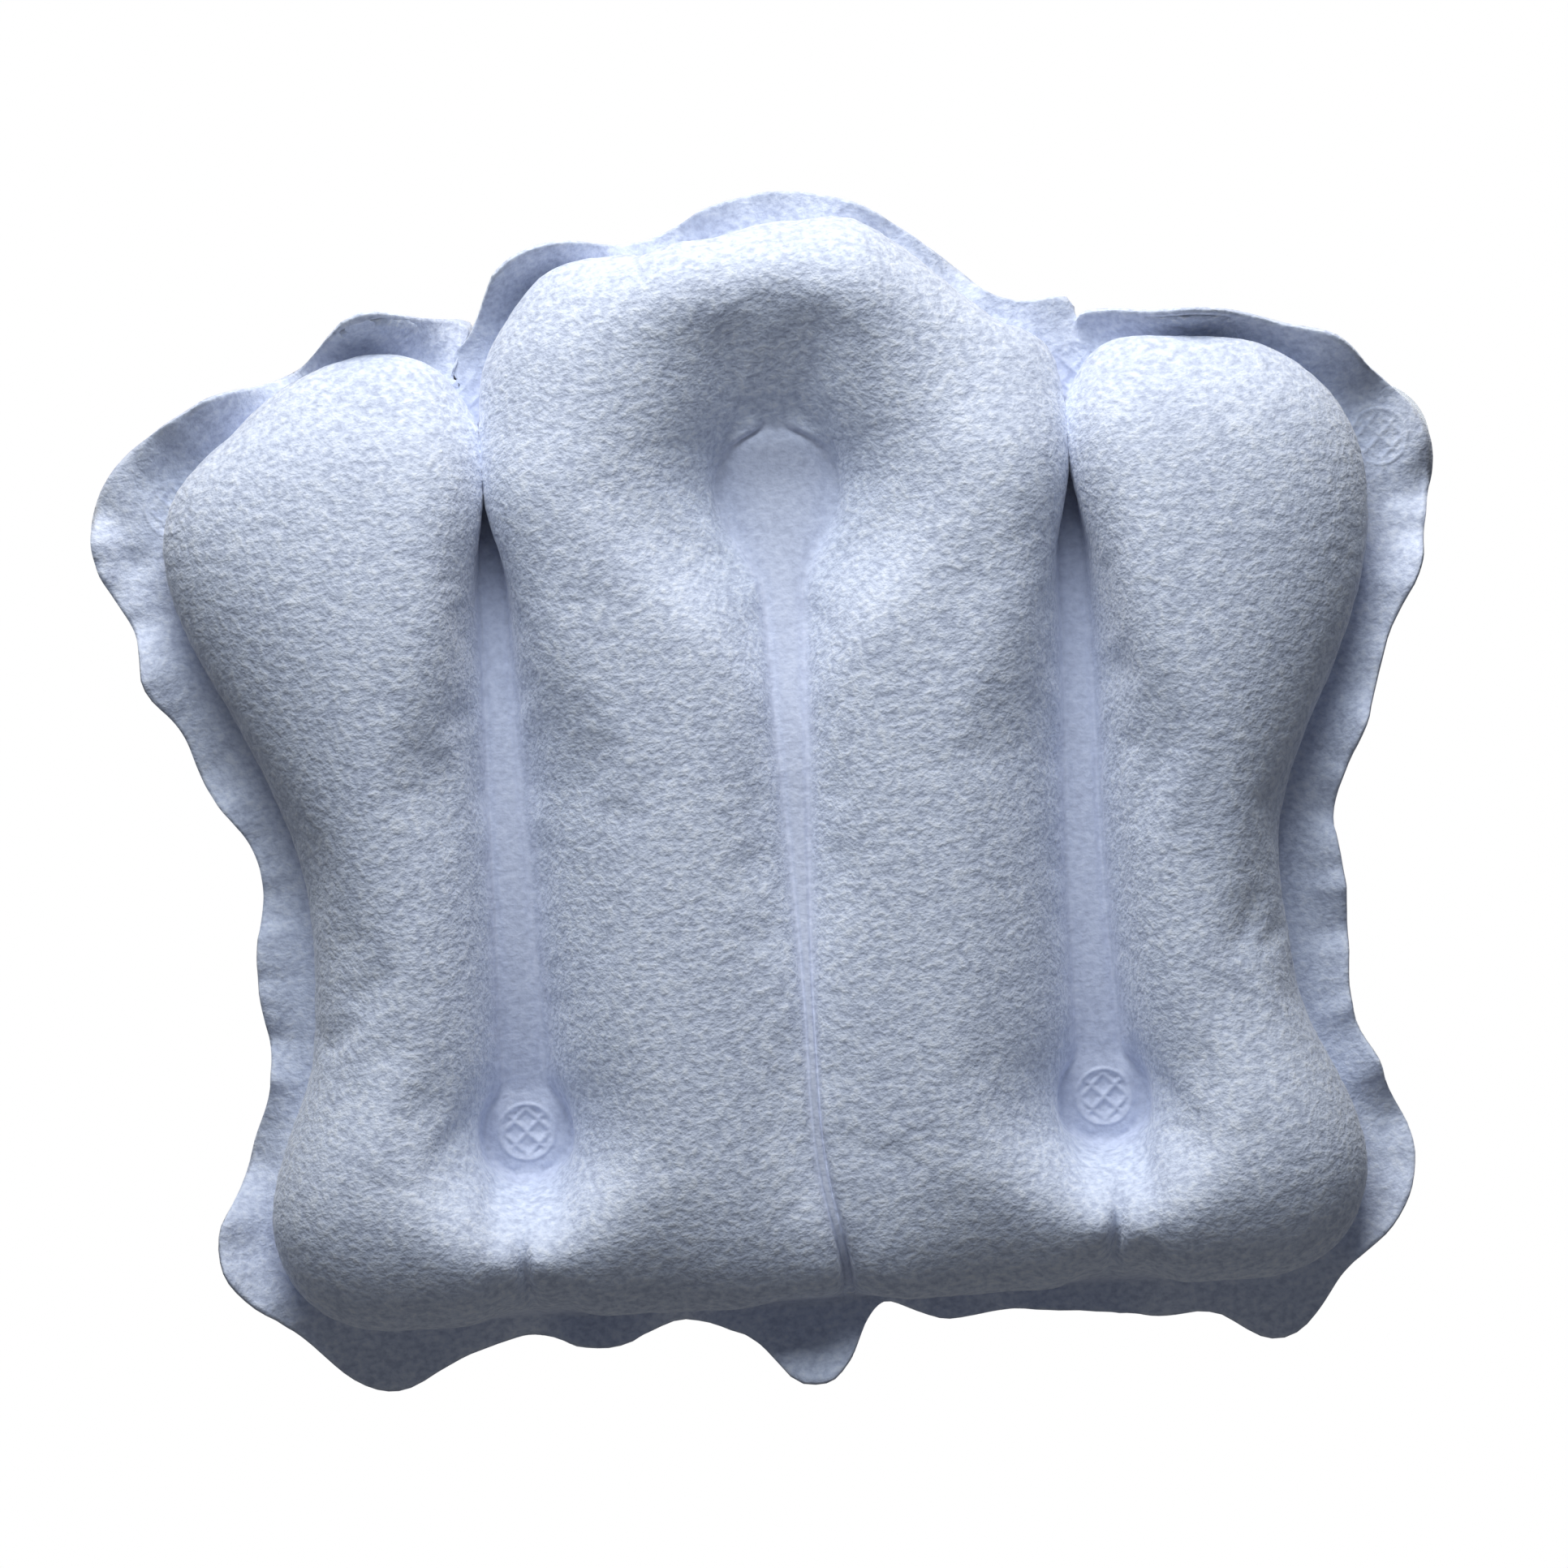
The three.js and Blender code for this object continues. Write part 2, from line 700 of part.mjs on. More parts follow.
function valveStem() {
  const profile = [
    [stemBoreRadius, stemEndY],
    [stemRadius, stemEndY],
    [stemRadius, collarFrontY],
    [collarRadius, collarFrontY],
    [collarRadius, rimY],
    [stemBoreRadius, rimY],
  ];
  const low = new THREE.Vector3(-earWidth / 2, collarFrontY, (stemBoreRadius + stemRadius) / 2);
  const high = new THREE.Vector3(earWidth / 2, rimY, hingeReach - hingeStandOff);
  const ear = toSolid(boxBetween(low, high));
  const tube = toSolid(turned(closed(profile), ringSides));
  return named("valve_stem", fromSolid(tube.add(ear)), "valveVinyl");
}

function valvePlug() {
  const rootRadius = stemBoreRadius - fitGap;
  const profile = [
    [0, capFrontY - plugDepth],
    [rootRadius - plugTaper, capFrontY - plugDepth],
    [rootRadius, capFrontY - fitGap],
    [rootRadius, capFrontY],
    [plugCapRadius, capFrontY],
    [plugCapRadius, capFrontY + plugCapThickness],
    [0, capFrontY + plugCapThickness],
  ];
  const tabEnd = -(plugCapRadius + plugTabLength);
  const low = new THREE.Vector3(-plugTabWidth / 2, capFrontY, tabEnd);
  const high = new THREE.Vector3(plugTabWidth / 2, capFrontY + strapThickness, -plugCapRadius / 2);
  const plug = toSolid(turned(profile, ringSides)).add(toSolid(boxBetween(low, high)));
  return named("valve_plug", fromSolid(plug), "valveVinyl");
}

// Flat strap from the plug's cap to its fold line over the ear of the stem
function plugStrap() {
  const half = strapWidth / 2;
  const start = plugCapRadius + fitGap;
  const halfAngle = Math.asin(half / start);
  const outline = new THREE.Shape();
  outline.moveTo(-half, hingeReach);
  outline.lineTo(-half, start * Math.cos(halfAngle));
  outline.absarc(0, 0, start, Math.PI / 2 + halfAngle, Math.PI / 2 - halfAngle, true);
  outline.lineTo(half, hingeReach);
  outline.closePath();
  const strap = new THREE.ExtrudeGeometry(outline, {
    depth: strapThickness,
    bevelEnabled: false,
    curveSegments: lobeCells,
  });
  strap.rotateX(Math.PI / 2).translate(0, capFrontY + strapThickness, 0);
  return named("plug_strap", strap, "valveVinyl");
}

// Flap that closes the inner end of the stem, with the tab it folds on
function checkFlap() {
  const backY = stemEndY - fitGap;
  const profile = [
    [0, backY - flapThickness],
    [flapRadius, backY - flapThickness],
    [flapRadius, backY],
    [0, backY],
  ];
  const low = new THREE.Vector3(-flapTabWidth / 2, backY - flapThickness, flapRadius / 2);
  const high = new THREE.Vector3(flapTabWidth / 2, backY, flapHingeReach);
  const flap = toSolid(turned(profile, ringSides)).add(toSolid(boxBetween(low, high)));
  return named("check_flap", fromSolid(flap), "valveVinyl");
}

const grid = panelGrid();
const shareAt = lobeShare(grid);

const pillow = new THREE.Group();
pillow.add(frontPanel(grid, shareAt), backPanel(grid, shareAt));
for (const [name, place] of Object.entries(cupPlaces())) {
  pillow.add(suctionCup(name, place));
}

const valve = new THREE.Group();
valve.position.set(valveX, 0, valveZ);
valve.add(valvePlate(), valveDiaphragm(), valveStem(), valvePlug(), plugStrap(), checkFlap());
pillow.add(valve);

export default pillow;
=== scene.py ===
"""Inflatable terry bath pillow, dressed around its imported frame.

Two terry-faced sheets are laid out on their weld pattern, blown up, puckered by a cloth
simulation and napped; the suction cups and the air valve are modelled behind them.
Metres, +Z up. The front faces -Y and the lips of the cups lie in the plane y = 0.
"""

import logging
import math
from dataclasses import dataclass, field
from enum import Enum

import bmesh
import bpy
import numpy as np
from mathutils import Euler, Matrix, Vector, noise


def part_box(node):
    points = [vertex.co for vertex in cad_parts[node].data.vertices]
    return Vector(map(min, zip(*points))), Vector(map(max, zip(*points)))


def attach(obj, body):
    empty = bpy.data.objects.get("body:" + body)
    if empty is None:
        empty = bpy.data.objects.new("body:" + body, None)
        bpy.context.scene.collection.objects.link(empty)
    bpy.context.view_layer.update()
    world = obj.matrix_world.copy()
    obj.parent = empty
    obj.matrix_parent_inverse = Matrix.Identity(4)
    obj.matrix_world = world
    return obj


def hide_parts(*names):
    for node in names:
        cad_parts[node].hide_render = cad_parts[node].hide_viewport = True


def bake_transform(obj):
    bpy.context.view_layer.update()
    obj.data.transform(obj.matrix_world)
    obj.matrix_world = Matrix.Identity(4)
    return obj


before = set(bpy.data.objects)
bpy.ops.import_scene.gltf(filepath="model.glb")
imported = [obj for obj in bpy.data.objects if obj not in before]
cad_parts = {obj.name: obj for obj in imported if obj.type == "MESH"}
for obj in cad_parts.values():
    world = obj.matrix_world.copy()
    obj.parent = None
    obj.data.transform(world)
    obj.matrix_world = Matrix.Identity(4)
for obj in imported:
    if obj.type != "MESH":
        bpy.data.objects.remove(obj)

log = logging.getLogger("bath_pillow")

STEM_HOLE_RADIUS = 0.0093
TINY = 1e-12


def eased(t: np.ndarray | float) -> np.ndarray | float:
    """Smooth step from 0 to 1."""
    held = np.clip(t, 0.0, 1.0)
    return held * held * (3.0 - 2.0 * held)


def value_at(level: np.ndarray, stations: list[tuple[float, float]]) -> np.ndarray:
    """Eases a value between rising stations.

    Args:
        level: Places along the stations.
        stations: Pairs of place and value, in rising order.

    Returns:
        The value at each place.
    """
    result = np.full_like(level, stations[0][1])
    for (low, start), (high, end) in zip(stations, stations[1:]):
        share = eased((level - low) / (high - low))
        result = np.where(level > low, start + (end - start) * share, result)
    return result


def middle_of(node: str) -> tuple[float, float]:
    """Middle of a node's box, across and up."""
    low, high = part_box(node)
    return (low[0] + high[0]) / 2, (low[2] + high[2]) / 2


def read_vectors(mesh: bpy.types.Mesh, what: str) -> np.ndarray:
    """Reads a vector of every point of a mesh.

    Args:
        mesh: The mesh.
        what: Which vector, as co or normal.

    Returns:
        The vectors, one row per point.
    """
    values = np.empty(len(mesh.vertices) * 3)
    mesh.vertices.foreach_get(what, values)
    return values.reshape(-1, 3)


CUP_NODES = tuple(
    f"suction_cup_{level}_{side}"
    for level in ("upper", "shoulder", "lower")
    for side in ("left", "right")
)


def cup_places() -> list[tuple[float, float]]:
    """Middle of each suction cup, across and up."""
    return [middle_of(node) for node in CUP_NODES]


class Side(Enum):
    """The two sheets, each with the way it faces along Y."""

    FRONT = -1
    BACK = 1


@dataclass(frozen=True)
class Ruffle:
    """A place on the flange where it is wider or leans out of its plane.

    Attributes:
        x: Place of its middle across.
        z: Place of its middle up.
        extra: How much wider the flange is there.
        lean: How far its edge stands back, or forward where negative.
        reach: Half the length over which it fades.
        crumple: How deep its small folds are.
    """

    x: float
    z: float
    extra: float
    lean: float
    reach: float
    crumple: float = 0.0


@dataclass(frozen=True)
class Nudge:
    """A soft push on the whole pillow, which leaves it uneven as the real one is.

    Attributes:
        x: Place of its middle across.
        z: Place of its middle up.
        push_x: How far it pushes across.
        push_z: How far it pushes up.
        reach: Distance over which it fades.
    """

    x: float
    z: float
    push_x: float
    push_z: float
    reach: float


@dataclass(frozen=True)
class Dent:
    """A soft dent in the blown-up front, or a bump where its depth is negative.

    Attributes:
        x: Place of its middle across.
        z: Place of its middle up.
        depth: How deep it is.
        reach_x: Half its width.
        reach_z: Half its height.
        lean: Turn of its long side, as a slope of across over up.
    """

    x: float
    z: float
    depth: float
    reach_x: float
    reach_z: float
    lean: float = 0.0

    def at(self, x: np.ndarray, z: np.ndarray) -> np.ndarray:
        """Works out the dent's depth.

        Args:
            x: Places across.
            z: Places up.

        Returns:
            The depth at each place.
        """
        up = z - self.z
        across = x - self.x - self.lean * up
        return self.depth * np.exp(-((across / self.reach_x) ** 2) - (up / self.reach_z) ** 2)


@dataclass(frozen=True)
class Wave:
    """One of the waves that run round the flange.

    Attributes:
        times: How many of them there are to each long wave.
        extra: How many more there are in the whole way round.
        drift: How far its crests wander.
        height: Its height, as a share of the long wave's.
    """

    times: int
    extra: int
    drift: int
    height: float


@dataclass
class WeldPattern:
    """Weld lines of the pillow, laid out as a grid that follows them.

    The slots, the seam and the drop are webs that are welded flat. Names that end in _z are
    levels, and cell and the counts set how fine the grid is.
    """

    lower_half_width: float = 0.153
    waist_half_width: float = 0.141
    upper_half_width: float = 0.165
    lower_flare_z: float = -0.116
    waist_low_z: float = -0.064
    waist_high_z: float = -0.026
    upper_flare_z: float = 0.070
    lower_weld_z: float = -0.146
    outer_lobe_top_z: float = 0.114
    headrest_top_z: float = 0.159
    headrest_crown_drop: float = 0.008
    lower_corner_radius: float = 0.032
    upper_corner_radius: float = 0.040
    shoulder_radius: float = 0.044
    inner_corner_radius: float = 0.018
    slot_x: float = 0.0823
    slot_foot_width: float = 0.013
    slot_pinch_width: float = 0.0085
    slot_top_width: float = 0.0020
    slot_tail_width: float = 0.004
    slot_pinch_z: float = 0.058
    slot_top_z: float = 0.099
    foot_radius: float = 0.013
    foot_z: float = -0.094
    seam_width: float = 0.0024
    seam_top_width: float = 0.011
    seam_low_z: float = -0.070
    drop_radius: float = 0.0172
    drop_z: float = 0.084
    drop_tip_z: float = 0.053
    cell: float = 0.0028
    lobe_cells: int = 26
    web_cells: int = 6
    crowding: float = 0.45

    def slot_half_width(self, z: np.ndarray) -> np.ndarray:
        """Works out the half width of a slot's flat web.

        Args:
            z: Levels.

        Returns:
            The half width at each level.
        """
        inside = np.clip(self.foot_radius**2 - (z - self.foot_z) ** 2, 0.0, None)
        web = value_at(
            z,
            [
                (self.foot_z, self.slot_foot_width / 2),
                (self.slot_pinch_z, self.slot_pinch_width / 2),
                (self.slot_top_z, self.slot_top_width / 2),
            ],
        )
        tail = np.full_like(z, self.slot_tail_width / 2)
        return np.maximum(np.sqrt(inside), np.where(z > self.foot_z, web, tail))

    def seam_half_width(self, z: np.ndarray) -> np.ndarray:
        """Works out the half width of the middle seam and of the drop that it opens into.

        Args:
            z: Levels.

        Returns:
            The half width at each level.
        """
        inside = np.clip(self.drop_radius**2 - (z - self.drop_z) ** 2, 0.0, None)
        flank = value_at(
            z,
            [
                (self.seam_low_z, self.seam_width / 2),
                (self.drop_tip_z, self.seam_top_width / 2),
                (self.drop_z, self.drop_radius),
            ],
        )
        above = np.maximum(np.sqrt(inside), self.seam_width)
        return np.where(z > self.drop_z, above, flank)

    def side_half_width(self, z: np.ndarray) -> np.ndarray:
        """Works out the half width of the outer weld line.

        Args:
            z: Levels.

        Returns:
            The half width at each level.
        """
        lower = (self.lower_flare_z, self.lower_half_width)
        waist = [(level, self.waist_half_width) for level in (self.waist_low_z, self.waist_high_z)]
        return value_at(z, [lower, *waist, (self.upper_flare_z, self.upper_half_width)])

    def levels(self) -> tuple[np.ndarray, int, int]:
        """Levels of the grid's rows.

        Returns:
            The levels, the row at the foot of the slots and the row at the top of the drop.
        """
        foot_low = self.foot_z - math.sqrt(self.foot_radius**2 - (self.slot_tail_width / 2) ** 2)
        drop_top = self.drop_z + math.sqrt(self.drop_radius**2 - self.seam_width**2)
        stops = [self.lower_weld_z, foot_low, drop_top, self.headrest_top_z]
        counts = [round((b - a) / self.cell) for a, b in zip(stops, stops[1:])]
        spans = zip(stops, stops[1:], counts)
        parts = [np.linspace(low, high, count, endpoint=False) for low, high, count in spans]
        rows = np.concatenate([*parts, [self.headrest_top_z]])
        return rows, counts[0], counts[0] + counts[1]

    @staticmethod
    def round_corner(
        x: np.ndarray,
        z: np.ndarray,
        centre: tuple[float, float],
        radius: float,
        out: tuple[int, int],
    ) -> None:
        """Moves the points past a corner's centre onto arcs, in place.

        Args:
            x: Places across.
            z: Places up.
            centre: Centre of the corner's arc.
            radius: Radius of the corner's arc.
            out: Signs of the way out of the corner.
        """
        p = (x - centre[0]) * out[0] / radius
        q = (z - centre[1]) * out[1] / radius
        past = (p > 0) & (q > 0)
        round_x = centre[0] + out[0] * radius * p * np.sqrt(np.clip(1 - q * q / 2, 0, 1))
        round_z = centre[1] + out[1] * radius * q * np.sqrt(np.clip(1 - p * p / 2, 0, 1))
        x[past] = round_x[past]
        z[past] = round_z[past]

    def half_grid(self, inner_z: np.ndarray) -> tuple[np.ndarray, np.ndarray]:
        """Grid points of the right half, from the middle out to the side.

        Args:
            inner_z: Levels of the rows in the inner lobe.

        Returns:
            Places across and up, each with one row per level.
        """
        tip = self.drop_tip_z
        rise = (self.outer_lobe_top_z - tip) / (self.headrest_top_z - tip)
        outer_z = np.where(inner_z > tip, tip + (inner_z - tip) * rise, inner_z)
        even = np.linspace(0, 1, self.lobe_cells + 1)
        crowded = (1 - np.cos(np.linspace(0, np.pi, self.lobe_cells + 1))) / 2
        across = self.crowding * crowded + (1 - self.crowding) * even
        seam = self.seam_half_width(inner_z)
        inner_end = self.slot_x - self.slot_half_width(inner_z)
        outer_start = self.slot_x + self.slot_half_width(outer_z)
        outer_end = self.side_half_width(outer_z)
        inner_x = seam[:, None] + (inner_end - seam)[:, None] * across
        outer_x = outer_start[:, None] + (outer_end - outer_start)[:, None] * across
        inner_y = np.repeat(inner_z[:, None], len(across), 1)
        outer_y = np.repeat(outer_z[:, None], len(across), 1)
        crown = eased((inner_z - self.drop_z) / (self.headrest_top_z - self.drop_z))[:, None]
        shoulder_x = self.slot_x - self.slot_top_width / 2
        top, r = self.headrest_top_z, self.shoulder_radius
        self.round_corner(inner_x, inner_y, (shoulder_x - r, top - r), r, (1, 1))
        inner_y -= self.headrest_crown_drop * crown * (inner_x / shoulder_x) ** 2
        top, r = self.outer_lobe_top_z, self.upper_corner_radius
        self.round_corner(outer_x, outer_y, (self.upper_half_width - r, top - r), r, (1, 1))
        r = self.inner_corner_radius
        corner_x = self.slot_x + self.slot_top_width / 2
        self.round_corner(outer_x, outer_y, (corner_x + r, top - r), r, (-1, 1))
        r = self.lower_corner_radius
        corner = (self.lower_half_width - r, self.lower_weld_z + r)
        self.round_corner(outer_x, outer_y, corner, r, (1, -1))
        web = np.linspace(0, 1, self.web_cells + 1)[1:-1]
        web_x = inner_x[:, -1:] + (outer_x[:, :1] - inner_x[:, -1:]) * web
        web_y = inner_y[:, -1:] + (outer_y[:, :1] - inner_y[:, -1:]) * web
        return np.hstack([inner_x, web_x, outer_x]), np.hstack([inner_y, web_y, outer_y])

    def grid(self) -> tuple[np.ndarray, np.ndarray, np.ndarray]:
        """Whole grid of the pattern.

        Returns:
            Places across, places up, and which points are welded flat.
        """
        rows, foot_row, drop_row = self.levels()
        x, z = self.half_grid(rows)
        seam = np.linspace(-1, 1, self.web_cells + 1)[1:-1]
        middle_x = x[:, :1] * seam
        middle_z = np.repeat(z[:, :1], len(seam), 1)
        full_x = np.hstack([-x[:, ::-1], middle_x, x])
        full_z = np.hstack([z[:, ::-1], middle_z, z])
        welded = np.zeros(full_x.shape, bool)
        n, w = self.lobe_cells, self.web_cells
        middle = x.shape[1]
        welded[: drop_row + 1, middle - 1 : middle + w] = True
        start = middle + w - 1 + n
        welded[foot_row:, start : start + w + 1] = True
        mirrored = full_x.shape[1] - 1 - start
        welded[foot_row:, mirrored - w : mirrored + 1] = True
        welded[0, :] = welded[-1, :] = welded[:, 0] = welded[:, -1] = True
        return full_x, full_z, welded


@dataclass
class FilledSheet:
    """One sheet of the pillow: its lobes, webs and flange as one grid of points.

    Attributes:
        points: Points of the sheet's outer face, one row each.
        quads: Four point numbers for each face of the outer face.
        share: How high each point stands, from 0 on a weld to 1 on the highest lobe.
        pressed_and_shaded: How much each point is flattened by the weld, from 0 to 1, which also
            sets the painted shade low between the lobes.
        rim: Point numbers along the flange's edge.
    """

    points: np.ndarray
    quads: np.ndarray
    share: np.ndarray
    pressed_and_shaded: np.ndarray
    rim: np.ndarray


class SmoothReach:
    """How far each grid point is from a set of welds, eased where two welds are alike near.

    A film that is held back everywhere and let go at the welds falls off with a fixed reach,
    so its logarithm is a distance without creases.

    Attributes:
        PRECISION: Share of the first error at which the solver stops.
        LEAST: Least height that the logarithm is taken of.
    """

    PRECISION = 1e-14
    LEAST = 1e-4

    def __init__(self, x: np.ndarray, z: np.ndarray, quads: np.ndarray, reach: float) -> None:
        """Works out the film's stiffness.

        Args:
            x: Place of each point across.
            z: Place of each point up.
            quads: Four point numbers for each face.
            reach: Distance over which the film falls off.
        """
        triangles = np.vstack([quads[:, [0, 1, 2]], quads[:, [0, 2, 3]]])
        self.count = len(x)
        self.reach = reach
        flat = np.column_stack([x, z])
        starts, ends, weights = [], [], []
        area = np.zeros(self.count)
        for a, b, c in ((0, 1, 2), (1, 2, 0), (2, 0, 1)):
            tip, left, right = (flat[triangles[:, k]] for k in (c, a, b))
            u, v = left - tip, right - tip
            cross = np.abs(u[:, 0] * v[:, 1] - u[:, 1] * v[:, 0]) + TINY
            starts.append(triangles[:, a])
            ends.append(triangles[:, b])
            weights.append((u * v).sum(1) / cross / 2)
            # A third of the triangle's area counts for each of its corners.
            area += np.bincount(triangles[:, c], cross / 6, self.count)
        self.starts = np.concatenate(starts)
        self.ends = np.concatenate(ends)
        self.weights = np.concatenate(weights)
        self.held = area / reach**2

    def pull(self, height: np.ndarray, fixed: np.ndarray) -> np.ndarray:
        """Works out the pull of the film at a set of heights.

        Args:
            height: Height of each point.
            fixed: Which points lie on the welds.

        Returns:
            The pull on each point, which is none where it is fixed.
        """
        gap = self.weights * (height[self.starts] - height[self.ends])
        total = np.bincount(self.starts, gap, self.count)
        total -= np.bincount(self.ends, gap, self.count)
        total += self.held * height
        total[fixed] = 0
        return total

    def distance(self, fixed: np.ndarray, passes: int = 600) -> np.ndarray:
        """Smooth distance of each point from the fixed ones.

        Args:
            fixed: Which points lie on the welds.
            passes: The most passes of the solver.

        Returns:
            The distances.
        """
        height = np.zeros(self.count)
        rest = np.where(fixed, 0.0, self.held)
        left = float(rest @ rest)
        goal = left * self.PRECISION
        way = rest.copy()
        for _ in range(passes):
            pulled = self.pull(way, fixed)
            step = left / float(way @ pulled)
            height += step * way
            rest -= step * pulled
            now = float(rest @ rest)
            if now < goal:
                break
            way = rest + now / left * way
            left = now
        return -self.reach * np.log(np.clip(1 - height, self.LEAST, 1.0))


RUFFLES = (
    Ruffle(0.000, 0.159, 0.003, -0.002, 0.030),
    Ruffle(-0.010, -0.146, 0.011, -0.010, 0.009),
    Ruffle(0.002, -0.146, 0.011, -0.016, 0.009),
    Ruffle(-0.042, -0.146, -0.005, 0.003, 0.012),
    Ruffle(-0.060, -0.146, 0.002, -0.004, 0.013),
    Ruffle(-0.085, -0.146, -0.003, 0.003, 0.010),
    Ruffle(-0.124, -0.146, 0.0115, 0.006, 0.016, 0.002),
    Ruffle(0.016, -0.146, -0.007, 0.004, 0.010),
    Ruffle(0.055, -0.146, -0.002, -0.003, 0.013),
    Ruffle(0.096, -0.146, 0.003, 0.003, 0.012),
    Ruffle(0.126, -0.146, 0.012, 0.006, 0.012),
    Ruffle(0.149, -0.135, 0.001, -0.003, 0.013, 0.002),
    Ruffle(-0.149, -0.135, 0.001, -0.003, 0.013),
    Ruffle(0.151, -0.091, 0.003, -0.012, 0.008, 0.002),
    Ruffle(0.153, -0.112, 0.007, 0.003, 0.013),
    Ruffle(0.152, -0.126, 0.003, -0.006, 0.010),
    Ruffle(-0.150, -0.095, 0.002, 0.006, 0.011),
    Ruffle(-0.153, -0.121, 0.009, -0.011, 0.014, 0.002),
    Ruffle(-0.141, -0.045, 0.009, -0.003, 0.036),
    Ruffle(0.141, -0.040, 0.011, -0.007, 0.044, 0.001),
    Ruffle(-0.150, 0.020, 0.009, 0.000, 0.022),
    Ruffle(0.150, 0.020, 0.005, -0.009, 0.024, 0.001),
    Ruffle(-0.163, 0.046, 0.008, -0.007, 0.012),
    Ruffle(0.163, 0.056, 0.007, -0.007, 0.016, 0.002),
    Ruffle(-0.165, 0.081, 0.017, -0.002, 0.020, 0.007),
    Ruffle(0.165, 0.084, 0.014, 0.005, 0.018, 0.005),
    Ruffle(-0.152, 0.108, 0.004, -0.013, 0.014),
    Ruffle(-0.131, 0.114, 0.000, 0.010, 0.006),
    Ruffle(-0.112, 0.120, 0.008, -0.024, 0.013, 0.003),
    Ruffle(-0.094, 0.118, 0.012, 0.010, 0.009, 0.006),
    Ruffle(-0.064, 0.140, 0.003, -0.016, 0.014),
    Ruffle(0.122, 0.114, 0.003, -0.020, 0.027),
    Ruffle(0.154, 0.109, 0.005, -0.016, 0.009, 0.004),
    Ruffle(0.085, 0.118, 0.008, 0.003, 0.014, 0.008),
    Ruffle(0.060, 0.143, 0.002, 0.004, 0.014, 0.003),
)


NUDGES = (
    Nudge(-0.165, 0.082, -0.0085, 0.000, 0.042),
    Nudge(-0.120, 0.114, 0.0000, 0.004, 0.040),
    Nudge(-0.108, 0.118, 0.0000, 0.005, 0.016),
    Nudge(-0.158, 0.112, 0.0000, -0.006, 0.022),
    Nudge(0.056, 0.142, -0.0050, -0.019, 0.028),
    Nudge(0.088, 0.124, 0.0000, 0.004, 0.022),
    Nudge(-0.034, 0.156, -0.0010, -0.010, 0.026),
    Nudge(0.141, -0.030, -0.0070, 0.000, 0.046),
    Nudge(-0.141, -0.040, 0.0030, 0.000, 0.040),
    Nudge(0.002, -0.142, 0.0065, 0.000, 0.026),
)


DENTS = (
    Dent(-0.0835, -0.134, 0.0080, 0.0024, 0.0120, -0.10),
    Dent(0.0815, -0.134, 0.0080, 0.0024, 0.0130, 0.12),
    Dent(-0.0830, -0.142, 0.0040, 0.0100, 0.0100),
    Dent(0.0820, -0.142, 0.0040, 0.0100, 0.0100),
    Dent(-0.1520, -0.045, 0.0090, 0.0240, 0.0320),
    Dent(0.1500, -0.045, 0.0090, 0.0240, 0.0320),
    Dent(0.0000, 0.096, 0.0075, 0.0460, 0.0260),
    Dent(-0.0600, -0.020, 0.0012, 0.0200, 0.0500),
    Dent(0.0520, 0.060, 0.0015, 0.0180, 0.0300),
    Dent(-0.1150, 0.050, -0.0015, 0.0250, 0.0300),
    Dent(0.1150, 0.020, -0.0015, 0.0250, 0.0400),
)


WAVES = (Wave(1, 0, 1, 1.0), Wave(2, 5, 2, 0.5), Wave(5, 3, -3, 0.2))


